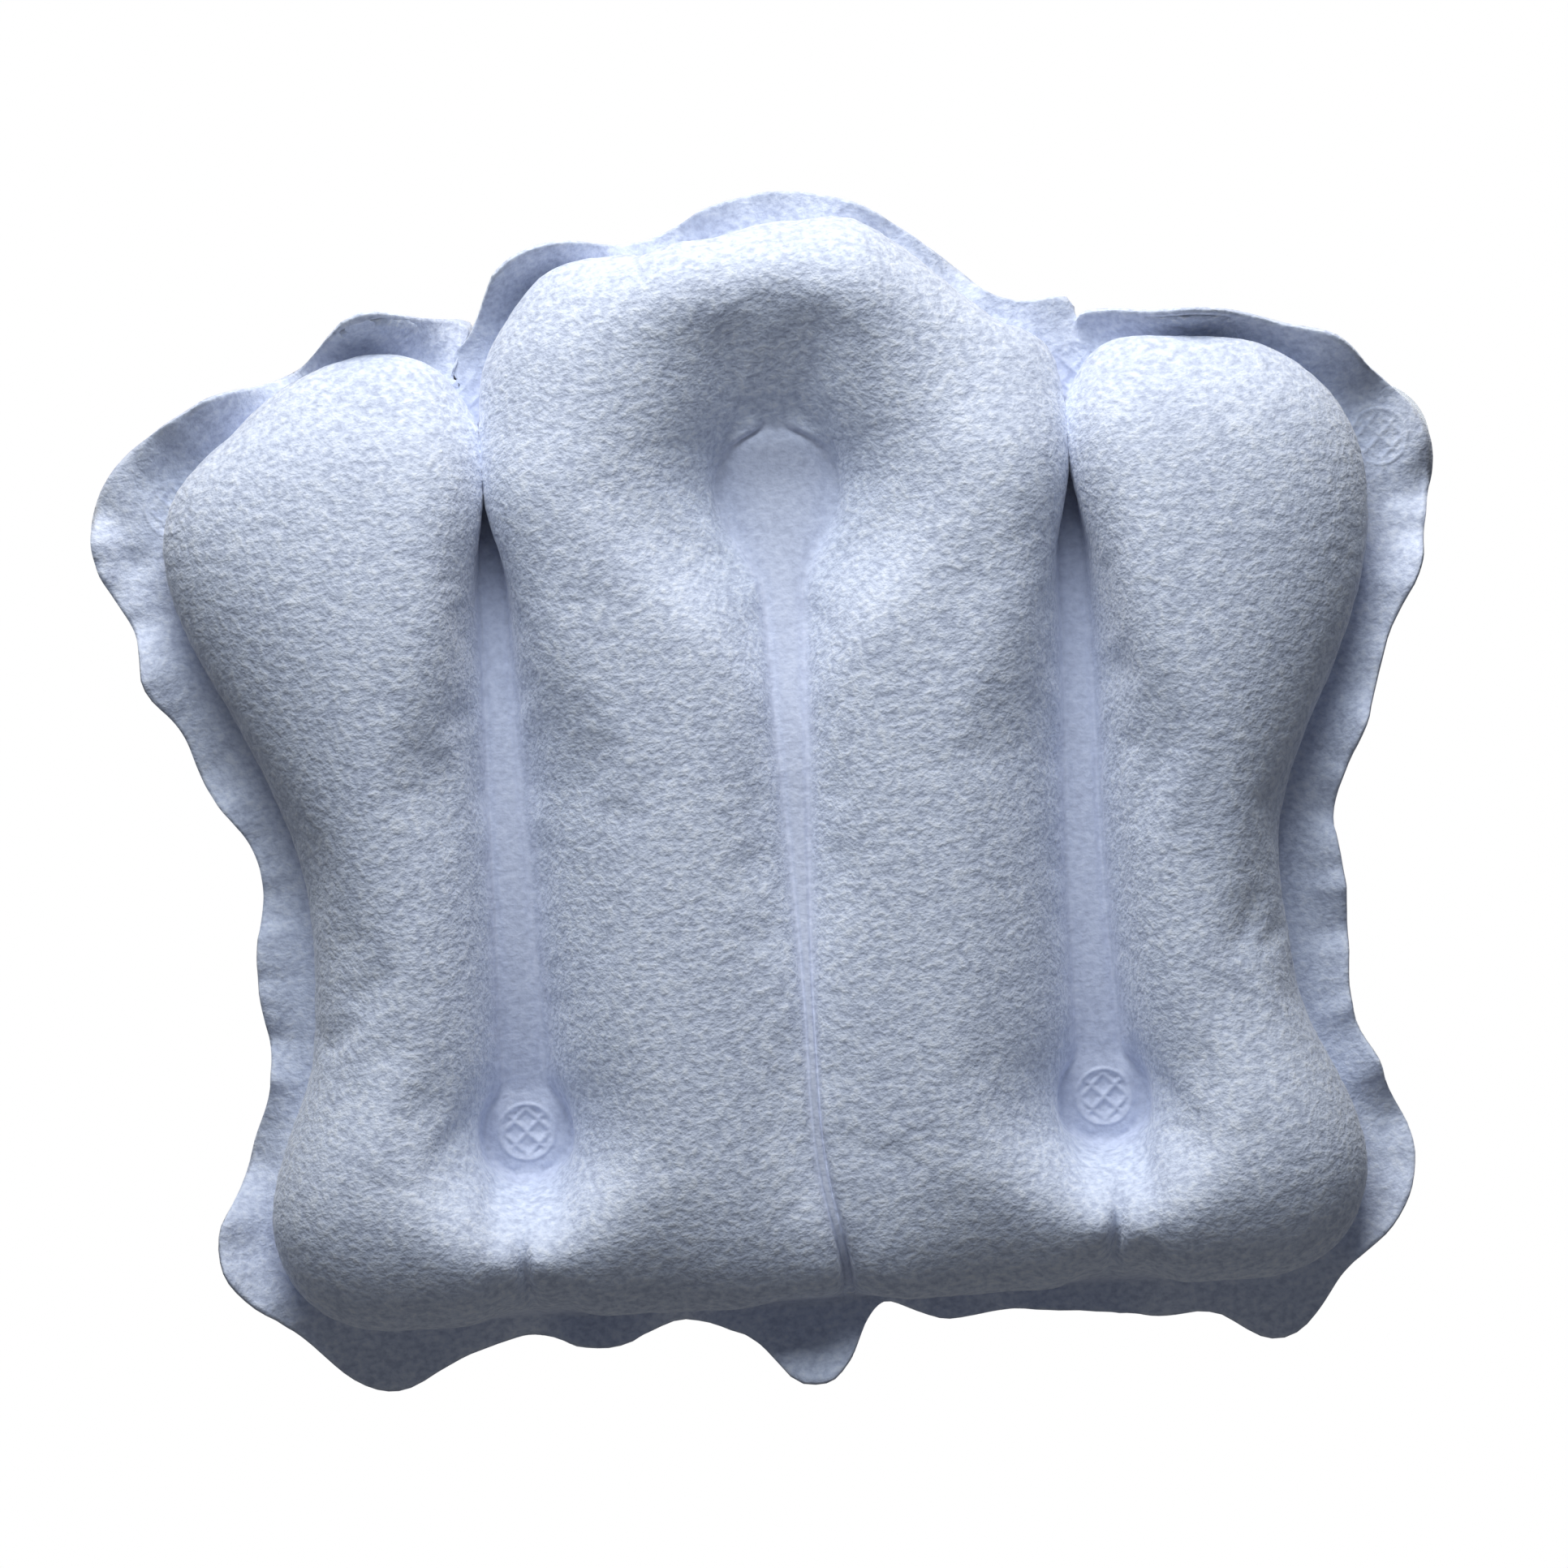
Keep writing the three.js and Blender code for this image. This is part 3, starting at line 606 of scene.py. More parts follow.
@dataclass
class Envelope:
    """The blown-up pillow: welds, air lobes and flange, shared by both sheets.

    Names that end in _round are the reach of a lobe's rounding from a weld, in _softness what
    is added to its power, and in _lift how far a web or lobe is drawn out. Shares have no unit.

    Attributes:
        mark_reach: How far the rounding of a slot's foot reaches, in foot radii.
        seam_zone: Where the seam's rounding starts to turn into the slots', as a share of slot_x.
        seam_fade: How long that takes, as such a share.
        right_share: Share of the slots' lift that the right slot has.
        weld_reach: How far a slot or the drop holds the lobes back, in foot or drop radii.
        seam_hold: How much the seam holds them back at its lower end.
        weld_press_and_shade: Share of the height up to which the pile is flattened by a weld and
            tinted with painted shade.
        lean_power: How late along its width the flange leans.
        cup_flat: Radius that is kept flat round each cup's plate.
    """

    pattern: WeldPattern = field(default_factory=WeldPattern)
    ruffles: tuple[Ruffle, ...] = RUFFLES
    nudges: tuple[Nudge, ...] = NUDGES
    dents: tuple[Dent, ...] = DENTS
    waves: tuple[Wave, ...] = WAVES
    weld_y: float = -0.02465
    gap: float = 0.0003
    thickness: float = 0.0012
    front_bulge: float = 0.0365
    back_bulge: float = 0.0165
    side_round: float = 0.041
    foot_round: float = 0.028
    inner_foot_round: float = 0.044
    top_round: float = 0.053
    crown_round: float = 0.034
    crown_half_width: float = 0.034
    upper_side_round: float = 0.051
    mark_round: float = 0.019
    mark_reach: float = 1.6
    slot_round: float = 0.018
    low_slot_round: float = 0.031
    seam_round: float = 0.010
    drop_round: float = 0.040
    low_slot_softness: float = 0.6
    drop_softness: float = 0.32
    seam_zone: float = 0.2
    seam_fade: float = 0.3
    inner_height: float = 0.88
    seam_low_lift: float = 0.032
    seam_lift: float = 0.0245
    drop_lift: float = 0.0120
    drop_rim_lift: float = 0.0150
    slot_lift: float = 0.010
    slot_lift_skew: float = 0.85
    right_share: float = 0.6
    film_reach: float = 0.012
    headrest_lift: float = 0.011
    shoulder_lift: float = 0.006
    roll_height: float = 0.004
    roll_z: float = 0.129
    roll_half_width: float = 0.040
    roll_half_height: float = 0.018
    weld_groove: float = 0.0016
    overhang: float = 0.0045
    overhang_start: float = 0.35
    weld_reach: float = 1.5
    seam_hold: float = 0.7
    weld_press_and_shade: float = 0.25
    slot_open_z: float = 0.045
    slot_shut_z: float = 0.088
    flange_width: float = 0.0085
    flange_rings: int = 7
    flange_pressed: float = 0.35
    lean_power: float = 1.4
    cup_flat: float = 0.0095
    fold_length: float = 0.0105
    wave_height: float = 0.0020
    wave_length: float = 0.046
    wave_drifts: int = 3
    corner_easing: int = 14
    pad_margin: float = 0.0015
    pad_fade: float = 0.010

    @staticmethod
    def rim_numbers(rows: int, columns: int) -> np.ndarray:
        """Numbers of the grid points round the outside, anticlockwise from the lower left."""
        at = np.arange(rows * columns).reshape(rows, columns)
        return np.concatenate([at[0], at[1:, -1], at[-1, -2::-1], at[-2:0:-1, 0]])

    def outward(self, line: np.ndarray) -> np.ndarray:
        """Finds the outward directions along the weld line, eased round its inner corners.

        Args:
            line: Points of the closed weld line, across and up.

        Returns:
            A direction for each point.
        """
        along = np.roll(line, -1, 0) - line
        normal = np.column_stack([along[:, 1], -along[:, 0]])
        normal /= np.linalg.norm(normal, axis=1)[:, None] + TINY
        normal = normal + np.roll(normal, 1, 0)
        for _ in range(self.corner_easing):
            normal = 2 * normal + np.roll(normal, 1, 0) + np.roll(normal, -1, 0)
            normal /= np.linalg.norm(normal, axis=1)[:, None]
        return normal

    @staticmethod
    def grid_normals(grid: np.ndarray) -> np.ndarray:
        """Unit normals of a grid of points."""
        normal = np.cross(np.gradient(grid, axis=1), np.gradient(grid, axis=0))
        return normal / (np.linalg.norm(normal, axis=2)[:, :, None] + TINY)

    def flange(self, line: np.ndarray) -> np.ndarray:
        """Rings of flange points outside the weld line.

        Args:
            line: Points of the outer weld line, across and up.

        Returns:
            For each ring, the points as across, back and up.
        """
        out = self.outward(line)
        steps = np.linalg.norm(np.diff(line, axis=0), axis=1)
        travelled = np.concatenate([[0], np.cumsum(steps)])
        width = np.full(len(line), self.flange_width)
        lean = self.waved(travelled / travelled[-1], round(travelled[-1] / self.wave_length))
        crumple = np.zeros(len(line))
        for ruffle in self.ruffles:
            away = np.hypot(line[:, 0] - ruffle.x, line[:, 1] - ruffle.z)
            fade = np.exp(-((away / ruffle.reach) ** 2))
            width += ruffle.extra * fade
            lean += ruffle.lean * fade
            crumple += ruffle.crumple * fade
        rings = []
        for k in range(1, self.flange_rings + 1):
            share = k / self.flange_rings
            flat = line + out * (width * share)[:, None]
            folds = np.array([noise.noise(Vector((*p, 0)) / self.fold_length) for p in flat])
            to_cup = [np.hypot(flat[:, 0] - x, flat[:, 1] - z) for x, z in cup_places()]
            free = eased((np.min(to_cup, axis=0) - self.cup_flat) / self.cup_flat)
            back = (lean * share**self.lean_power + crumple * folds * share) * free
            rings.append(np.column_stack([flat[:, 0], back, flat[:, 1]]))
        return np.array(rings)

    def waved(self, way: np.ndarray, turns: int) -> np.ndarray:
        """Works out the lean of the flange's edge from its long and short waves.

        Args:
            way: Share of the way round the pillow.
            turns: Long waves in the whole way.

        Returns:
            How far the edge stands back.
        """
        round_way = 2 * np.pi * way
        drift = np.sin(self.wave_drifts * round_way)
        total = np.zeros_like(way)
        for wave in self.waves:
            count = wave.times * turns + wave.extra
            total += wave.height * np.sin(count * round_way + wave.drift * drift)
        return self.wave_height * total

    def nudged(self, x: np.ndarray, z: np.ndarray) -> tuple[np.ndarray, np.ndarray]:
        """Pushes the grid points by the soft nudges.

        Args:
            x: Place of each point across.
            z: Place of each point up.

        Returns:
            The new places across and up.
        """
        moved_x, moved_z = x.copy(), z.copy()
        for nudge in self.nudges:
            fade = np.exp(-((x - nudge.x) ** 2 + (z - nudge.z) ** 2) / nudge.reach**2)
            moved_x += nudge.push_x * fade
            moved_z += nudge.push_z * fade
        return moved_x, moved_z

    def outline_round(self, x: np.ndarray, z: np.ndarray) -> np.ndarray:
        """Works out how far the lobes' rounding reaches in from the outline.

        Args:
            x: Place of each point across.
            z: Place of each point up.

        Returns:
            The reach for each point.
        """
        p = self.pattern
        is_outer = eased((np.abs(x) - p.slot_x + p.foot_radius) / (2 * p.foot_radius))
        low_round = self.inner_foot_round + (self.foot_round - self.inner_foot_round) * is_outer
        from_mark = (np.abs(x) - p.slot_x) / (self.mark_reach * p.foot_radius)
        low_round += (self.mark_round - low_round) * np.exp(-(from_mark**2))
        side_round = value_at(
            z,
            [
                (p.waist_high_z, self.side_round),
                (p.slot_pinch_z, self.upper_side_round),
                (p.outer_lobe_top_z, self.side_round),
            ],
        )
        above_foot = eased((z - p.lower_weld_z - low_round) / (2 * self.foot_round))
        rounding = low_round + (side_round - low_round) * above_foot
        crown = np.exp(-((x / self.crown_half_width) ** 4))
        top_round = self.top_round + (self.crown_round - self.top_round) * crown
        in_headrest = eased((z - p.drop_z) / p.shoulder_radius)
        return rounding + (top_round - rounding) * in_headrest

    def fill(
        self, x: np.ndarray, z: np.ndarray, quads: np.ndarray, welded: np.ndarray
    ) -> np.ndarray:
        """Works out how high each point is blown up, as a share of the highest lobe.

        The lobes are widely round at the outline and tightly round along the slots and the seam.

        Args:
            x: Place of each point across.
            z: Place of each point up.
            quads: Four point numbers for each face.
            welded: Which points of the grid are welded flat.

        Returns:
            The share of each point.
        """
        film = SmoothReach(x, z, quads, self.film_reach)
        border = np.zeros(welded.shape, bool)
        border[0, :] = border[-1, :] = border[:, 0] = border[:, -1] = True
        outer = film.distance(border.ravel())
        inner = film.distance((welded & ~border).ravel())
        p = self.pattern
        side = np.sqrt(1 - (1 - np.clip(outer / self.outline_round(x, z), 0, 1)) ** 2)
        near_slot = eased((np.abs(x) / p.slot_x - self.seam_zone) / self.seam_fade)
        is_low = 1 - eased(z / p.slot_pinch_z)
        along_slot = self.slot_round + (self.low_slot_round - self.slot_round) * is_low
        tight = self.seam_round + (along_slot - self.seam_round) * near_slot
        from_drop = np.hypot(x, z - p.drop_z - p.drop_radius)
        wide = 1 - eased((from_drop - self.drop_round) / self.drop_round)
        tight += (self.drop_round - tight) * wide
        power = 0.5 + self.low_slot_softness * is_low * near_slot + self.drop_softness * wide
        slot = (1 - (1 - np.clip(inner / tight, 0, 1)) ** 2) ** power
        share = side * slot
        share[welded.ravel()] = 0
        return share

    def weld_lift(self, x: np.ndarray, z: np.ndarray) -> np.ndarray:
        """Works out how far the inner welds are drawn forward, easing to none at the cups.

        Args:
            x: Place of each point across.
            z: Place of each point up.

        Returns:
            The lift of each point.
        """
        p = self.pattern
        from_foot = np.clip((z - p.lower_weld_z) / self.foot_round, 0, 1)
        low = np.sqrt(1 - (1 - from_foot) ** 2)
        drop_top = p.drop_z + p.drop_radius
        high = 1 - eased((z - drop_top) / (p.headrest_top_z - drop_top))
        height = value_at(
            z,
            [
                (p.foot_z, self.seam_low_lift),
                (0.0, self.seam_lift),
                (p.drop_z, self.drop_lift),
                (drop_top, self.drop_rim_lift),
            ],
        )
        middle = height * low * high * np.exp(-((x / (2 * p.drop_radius)) ** 2))
        foot_top = p.foot_z + p.foot_radius
        span = np.clip((z - foot_top) / (p.slot_top_z - foot_top), 0, 1)
        bow = self.slot_lift * np.sin(np.pi * span**self.slot_lift_skew)
        bow *= np.where(x > 0, self.right_share, 1.0)
        away = np.abs(np.abs(x) - p.slot_x)
        return middle + bow * (1 - eased((away - p.foot_radius) / (2 * p.foot_radius)))

    @staticmethod
    def weld_edges(welded: np.ndarray) -> np.ndarray:
        """Finds the points where an inner weld meets a lobe.

        Args:
            welded: Which points of the grid are welded flat.

        Returns:
            For each point 1 there, or else 0.
        """
        free = ~welded
        beside = np.zeros_like(welded)
        up_or_down = free[:-2, 1:-1] | free[2:, 1:-1]
        beside[1:-1, 1:-1] = up_or_down | free[1:-1, :-2] | free[1:-1, 2:]
        return (welded & beside).ravel().astype(float)

    def press_pad(self, points: np.ndarray) -> None:
        """Presses a flat pad for the valve's plate into the back sheet, in place.

        Args:
            points: The sheet's points.
        """
        low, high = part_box("valve_base")
        middle_x, middle_z = middle_of("valve_base")
        away = np.hypot(points[:, 0] - middle_x, points[:, 2] - middle_z)
        flat = 1 - eased((away - (high[0] - low[0]) / 2 - self.pad_margin) / self.pad_fade)
        pad_y = low[1] - self.gap
        points[:, 1] -= np.clip(points[:, 1] - pad_y, 0, None) * flat

    def swell(
        self, side: Side, x: np.ndarray, z: np.ndarray, share: np.ndarray
    ) -> tuple[np.ndarray, np.ndarray]:
        """Blows one sheet up.

        Args:
            side: Which sheet.
            x: Place of each point across.
            z: Place of each point up.
            share: How high each point is, as a share of the highest lobe.

        Returns:
            How far each point stands out, and its place up.
        """
        p = self.pattern
        is_inner = 1 - eased((np.abs(x) - p.slot_x + self.slot_round) / self.slot_round)
        is_inner *= 1 - eased((z - p.drop_tip_z) / self.drop_round)
        held = 1 - (1 - self.inner_height) * is_inner
        if side is Side.BACK:
            return self.back_bulge * share * held, z.copy()
        above_drop = eased((z - p.drop_z - p.drop_radius) / p.drop_radius)
        up = z + self.headrest_lift * share * above_drop
        across = (x / self.roll_half_width) ** 2
        high = ((z - self.roll_z) / self.roll_half_height) ** 2
        roll = self.roll_height * share * np.exp(-across - high)
        shoulder = eased((z - p.upper_flare_z) / p.upper_corner_radius)
        beyond_slot = eased((np.abs(x) - p.slot_x) / p.foot_radius)
        up += self.shoulder_lift * share * shoulder * beyond_slot
        hollow = sum(dent.at(x, z) for dent in self.dents) * eased(share / self.overhang_start)
        return self.front_bulge * share * held + roll - hollow, up

    def past_weld(self, x: np.ndarray, z: np.ndarray, share: np.ndarray) -> np.ndarray:
        """Works out how far the lobes bulge out past their welds, less so into slots and seam.

        Args:
            x: Place of each point across.
            z: Place of each point up.
            share: How high each point is, as a share of the highest lobe.

        Returns:
            The bulge of each point along its normal.
        """
        p = self.pattern
        at_slot = eased(self.weld_reach - np.abs(np.abs(x) - p.slot_x) / p.foot_radius)
        shut = eased((z - self.slot_open_z) / (self.slot_shut_z - self.slot_open_z))
        free = 1 - at_slot * (1 - shut)
        at_seam = eased(self.weld_reach - np.abs(x) / p.drop_radius)
        high = eased((z - p.seam_low_z) / p.drop_tip_z)
        free *= 1 - at_seam * (self.seam_hold + (1 - self.seam_hold) * high)
        return self.overhang * eased(share / self.overhang_start) * free

    def lay_out(self, side: Side) -> FilledSheet:
        """Lays out one sheet in its blown-up shape.

        Args:
            side: Which sheet.

        Returns:
            The sheet's points and faces.
        """
        x, z, welded = self.pattern.grid()
        rows, columns = x.shape
        at = np.arange(rows * columns).reshape(rows, columns)
        quads = np.stack([at[:-1, :-1], at[:-1, 1:], at[1:, 1:], at[1:, :-1]], -1).reshape(-1, 4)
        flat_x, flat_z = self.nudged(x.ravel(), z.ravel())
        share = self.fill(flat_x, flat_z, quads, welded)
        rise, up = self.swell(side, flat_x, flat_z, share)
        base = self.weld_y + side.value * (self.gap / 2 + self.thickness)
        lift = self.weld_lift(flat_x, flat_z) * (1 - share)
        lift -= self.weld_groove * self.weld_edges(welded)
        grid_points = np.column_stack([flat_x, base + side.value * rise - lift, up])
        out = self.grid_normals(grid_points.reshape(rows, columns, 3)).reshape(-1, 3)
        past = self.past_weld(flat_x, flat_z, share)
        grid_points += np.sign(out[:, 1:2] * side.value) * out * past[:, None]
        if side is Side.BACK:
            self.press_pad(grid_points)
        rim = self.rim_numbers(rows, columns)
        rings = self.flange(np.column_stack([flat_x[rim], flat_z[rim]]))
        rings[:, :, 1] += base
        points = np.vstack([grid_points, rings.reshape(-1, 3)])
        numbers = len(grid_points) + np.arange(rings[:, :, 0].size).reshape(len(rings), -1)
        bands = [rim, *numbers]
        for inside, outside in zip(bands, bands[1:]):
            band = np.column_stack([outside, np.roll(outside, -1), np.roll(inside, -1), inside])
            quads = np.vstack([quads, band])
        pressed_and_shaded = np.full(len(points), self.flange_pressed)
        # Mask of the flattened pile, which the material also uses to paint a bluer shade low
        # between the lobes: 1 on the welds, fading up the lobes' low sides.
        pressed_and_shaded[: len(grid_points)] = 1 - eased(share / self.weld_press_and_shade)
        full_share = np.concatenate([share, np.zeros(len(points) - len(share))])
        return FilledSheet(points, quads, full_share, pressed_and_shaded, bands[-1])


@dataclass(frozen=True)
class WeldMarks:
    """Round marks where the cups are welded on: a ring round a lattice of dimples.

    Attributes:
        radius: Outer radius of the ring.
        ring_width: Width of the ring.
        pitch: From one rib of the lattice to the next.
        rib_width: Half width of a rib.
        depth: How deep the dimples are.
        worn: Share of that depth left above the feet, where the flange is soft.
        cuts: New points along each edge of the mesh there.
    """

    radius: float = 0.0086
    ring_width: float = 0.0014
    pitch: float = 0.0048
    rib_width: float = 0.0008
    depth: float = 0.0009
    worn: float = 0.4
    cuts: int = 3

    def height(self, x: float, z: float) -> float:
        """Works out how far the mark stands back at a place from its middle.

        Args:
            x: Place across.
            z: Place up.

        Returns:
            The height.
        """
        away = math.hypot(x, z)
        if away > self.radius:
            return 0.0
        ring = self.radius - self.ring_width / 2
        if away > self.radius - self.ring_width:
            return -self.depth / 2 * math.cos(math.pi * (away - ring) / self.ring_width)
        ribs = 0.0
        for along in ((x + z) / math.sqrt(2), (x - z) / math.sqrt(2)):
            off = (along / self.pitch + 0.5) % 1 - 0.5
            ribs = max(ribs, math.exp(-((off * self.pitch / self.rib_width) ** 2)))
        inside = eased((self.radius - self.ring_width - away) / self.ring_width)
        return self.depth * (1 - ribs) * float(inside)

    def press(self, mesh: bpy.types.Mesh) -> None:
        """Presses the marks into a sheet's face.

        Args:
            mesh: The face's mesh.
        """
        shell = bmesh.new()
        shell.from_mesh(mesh)
        reach = self.radius + self.ring_width
        for place_x, place_z in cup_places():
            near = set()
            for face in shell.faces:
                corner = face.verts[0].co
                if math.hypot(corner.x - place_x, corner.z - place_z) < reach:
                    near.update(face.edges)
            bmesh.ops.subdivide_edges(shell, edges=list(near), cuts=self.cuts, use_grid_fill=True)
            left = 1.0 if place_z < 0 else self.worn
            for vertex in shell.verts:
                x, z = vertex.co.x - place_x, vertex.co.z - place_z
                if abs(x) < self.radius and abs(z) < self.radius:
                    vertex.co.y += self.height(x, z) * left
        shell.to_mesh(mesh)
        shell.free()


class NodeSketch:
    """A node tree, written a node at a time.

    Attributes:
        COLOUR_A: Number of the mix node's input for its first colour.
        COLOUR_B: Number of its input for the second colour.
        COLOUR_OUT: Number of its output for the mixed colour.
    """

    COLOUR_A = 6
    COLOUR_B = 7
    COLOUR_OUT = 2

    def __init__(self, owner: bpy.types.Material | bpy.types.World) -> None:
        """Empties the node tree.

        Args:
            owner: The material or world that it belongs to.
        """
        owner.use_nodes = True
        self.tree = owner.node_tree
        self.tree.nodes.clear()

    def add(self, kind: str, inputs: dict | None = None, **settings: object) -> bpy.types.Node:
        """Adds a node.

        Args:
            kind: The node's type, without the words that all types begin with.
            inputs: Values or sockets for its inputs, by name or number.
            settings: Its own properties.

        Returns:
            The node.
        """
        node = self.tree.nodes.new(f"ShaderNode{kind}")
        for key, value in settings.items():
            setattr(node, key, value)
        for key, value in (inputs or {}).items():
            self.join(value, node.inputs[key])
        return node

    def join(self, value: object, socket: bpy.types.NodeSocket) -> None:
        """Links a socket to another, or sets its value.

        Args:
            value: A socket or a value.
            socket: The socket that takes it.
        """
        if isinstance(value, bpy.types.NodeSocket):
            self.tree.links.new(value, socket)
        else:
            socket.default_value = value

    def mix(self, factor: object, a: object, b: object) -> bpy.types.NodeSocket:
        """Mixes two colours.

        Args:
            factor: Share of the second colour.
            a: The first colour.
            b: The second colour.

        Returns:
            The mixed colour.
        """
        node = self.add("Mix", data_type="RGBA", blend_type="MIX")
        for number, value in ((0, factor), (self.COLOUR_A, a), (self.COLOUR_B, b)):
            self.join(value, node.inputs[number])
        return node.outputs[self.COLOUR_OUT]

    def math(self, operation: str, a: object, b: object) -> bpy.types.NodeSocket:
        """Adds a sum of two numbers and returns the result."""
        return self.add("Math", {0: a, 1: b}, operation=operation).outputs[0]

    def seen(self) -> bpy.types.NodeSocket:
        """Adds up the camera, glossy and transmission rays.

        Returns:
            1 for such a ray, or else 0.
        """
        rays = self.add("LightPath").outputs
        first = self.math("ADD", rays["Is Camera Ray"], rays["Is Glossy Ray"])
        both = {0: first, 1: rays["Is Transmission Ray"]}
        return self.add("Math", both, operation="ADD", use_clamp=True).outputs[0]


class SurfaceSketch(NodeSketch):
    """A surface material, whose patterns are fixed to the piece."""

    def __init__(self, name: str) -> None:
        """Starts a material with its shader, its output and its coordinates.

        Args:
            name: The material's name.
        """
        self.material = bpy.data.materials.new(name)
        super().__init__(self.material)
        self.shader = self.add("BsdfPrincipled")
        self.output = self.add("OutputMaterial", {"Surface": self.shader.outputs["BSDF"]})
        self.place = self.add("TexCoord").outputs["Object"]

    def shade(self, **inputs: object) -> None:
        """Sets or links inputs of the shader, with spaces written as underscores."""
        for key, value in inputs.items():
            self.join(value, self.shader.inputs[key.replace("_", " ")])

    def speckle(
        self,
        scale: float,
        detail: float,
        roughness: float = 0.5,
        distortion: float = 0.0,
        vector: bpy.types.NodeSocket | None = None,
    ) -> bpy.types.NodeSocket:
        """Adds a noise pattern.

        Args:
            scale: Specks in a metre.
            detail: Finer layers of it.
            roughness: Strength of the finer layers.
            distortion: How far it is warped.
            vector: Where it is read, or none for the piece's own place.

        Returns:
            The pattern, from 0 to 1.
        """
        inputs = {"Vector": vector or self.place, "Scale": scale, "Detail": detail}
        inputs |= {"Roughness": roughness, "Distortion": distortion}
        return self.add("TexNoise", inputs).outputs["Fac"]

    def blend(self, *parts: tuple[bpy.types.NodeSocket, float]) -> bpy.types.NodeSocket:
        """Adds up patterns by their shares.

        Args:
            parts: Two pairs of pattern and share. A share of 1 adds the pattern as it is.

        Returns:
            The sum.
        """
        terms = [
            part if share == 1 else self.math("MULTIPLY", part, share) for part, share in parts
        ]
        return self.math("ADD", *terms)

    def ramp(
        self, factor: bpy.types.NodeSocket, stops: list[tuple[float, tuple]]
    ) -> bpy.types.NodeSocket:
        """Adds a colour ramp.

        Args:
            factor: What runs along the ramp.
            stops: Pairs of place and colour.

        Returns:
            The ramp's colour.
        """
        node = self.add("ValToRGB", {"Fac": factor})
        elements = node.color_ramp.elements
        while len(elements) < len(stops):
            elements.new(1.0)
        for element, (place, colour) in zip(elements, stops):
            element.position = place
            element.color = (*colour, 1.0)
        return node.outputs["Color"]

    def bump(
        self, height: bpy.types.NodeSocket, strength: float, distance: float
    ) -> bpy.types.NodeSocket:
        """Adds a bump and returns its normal."""
        inputs = {"Height": height, "Strength": strength, "Distance": distance}
        return self.add("Bump", inputs).outputs["Normal"]


Colour = tuple[float, float, float]


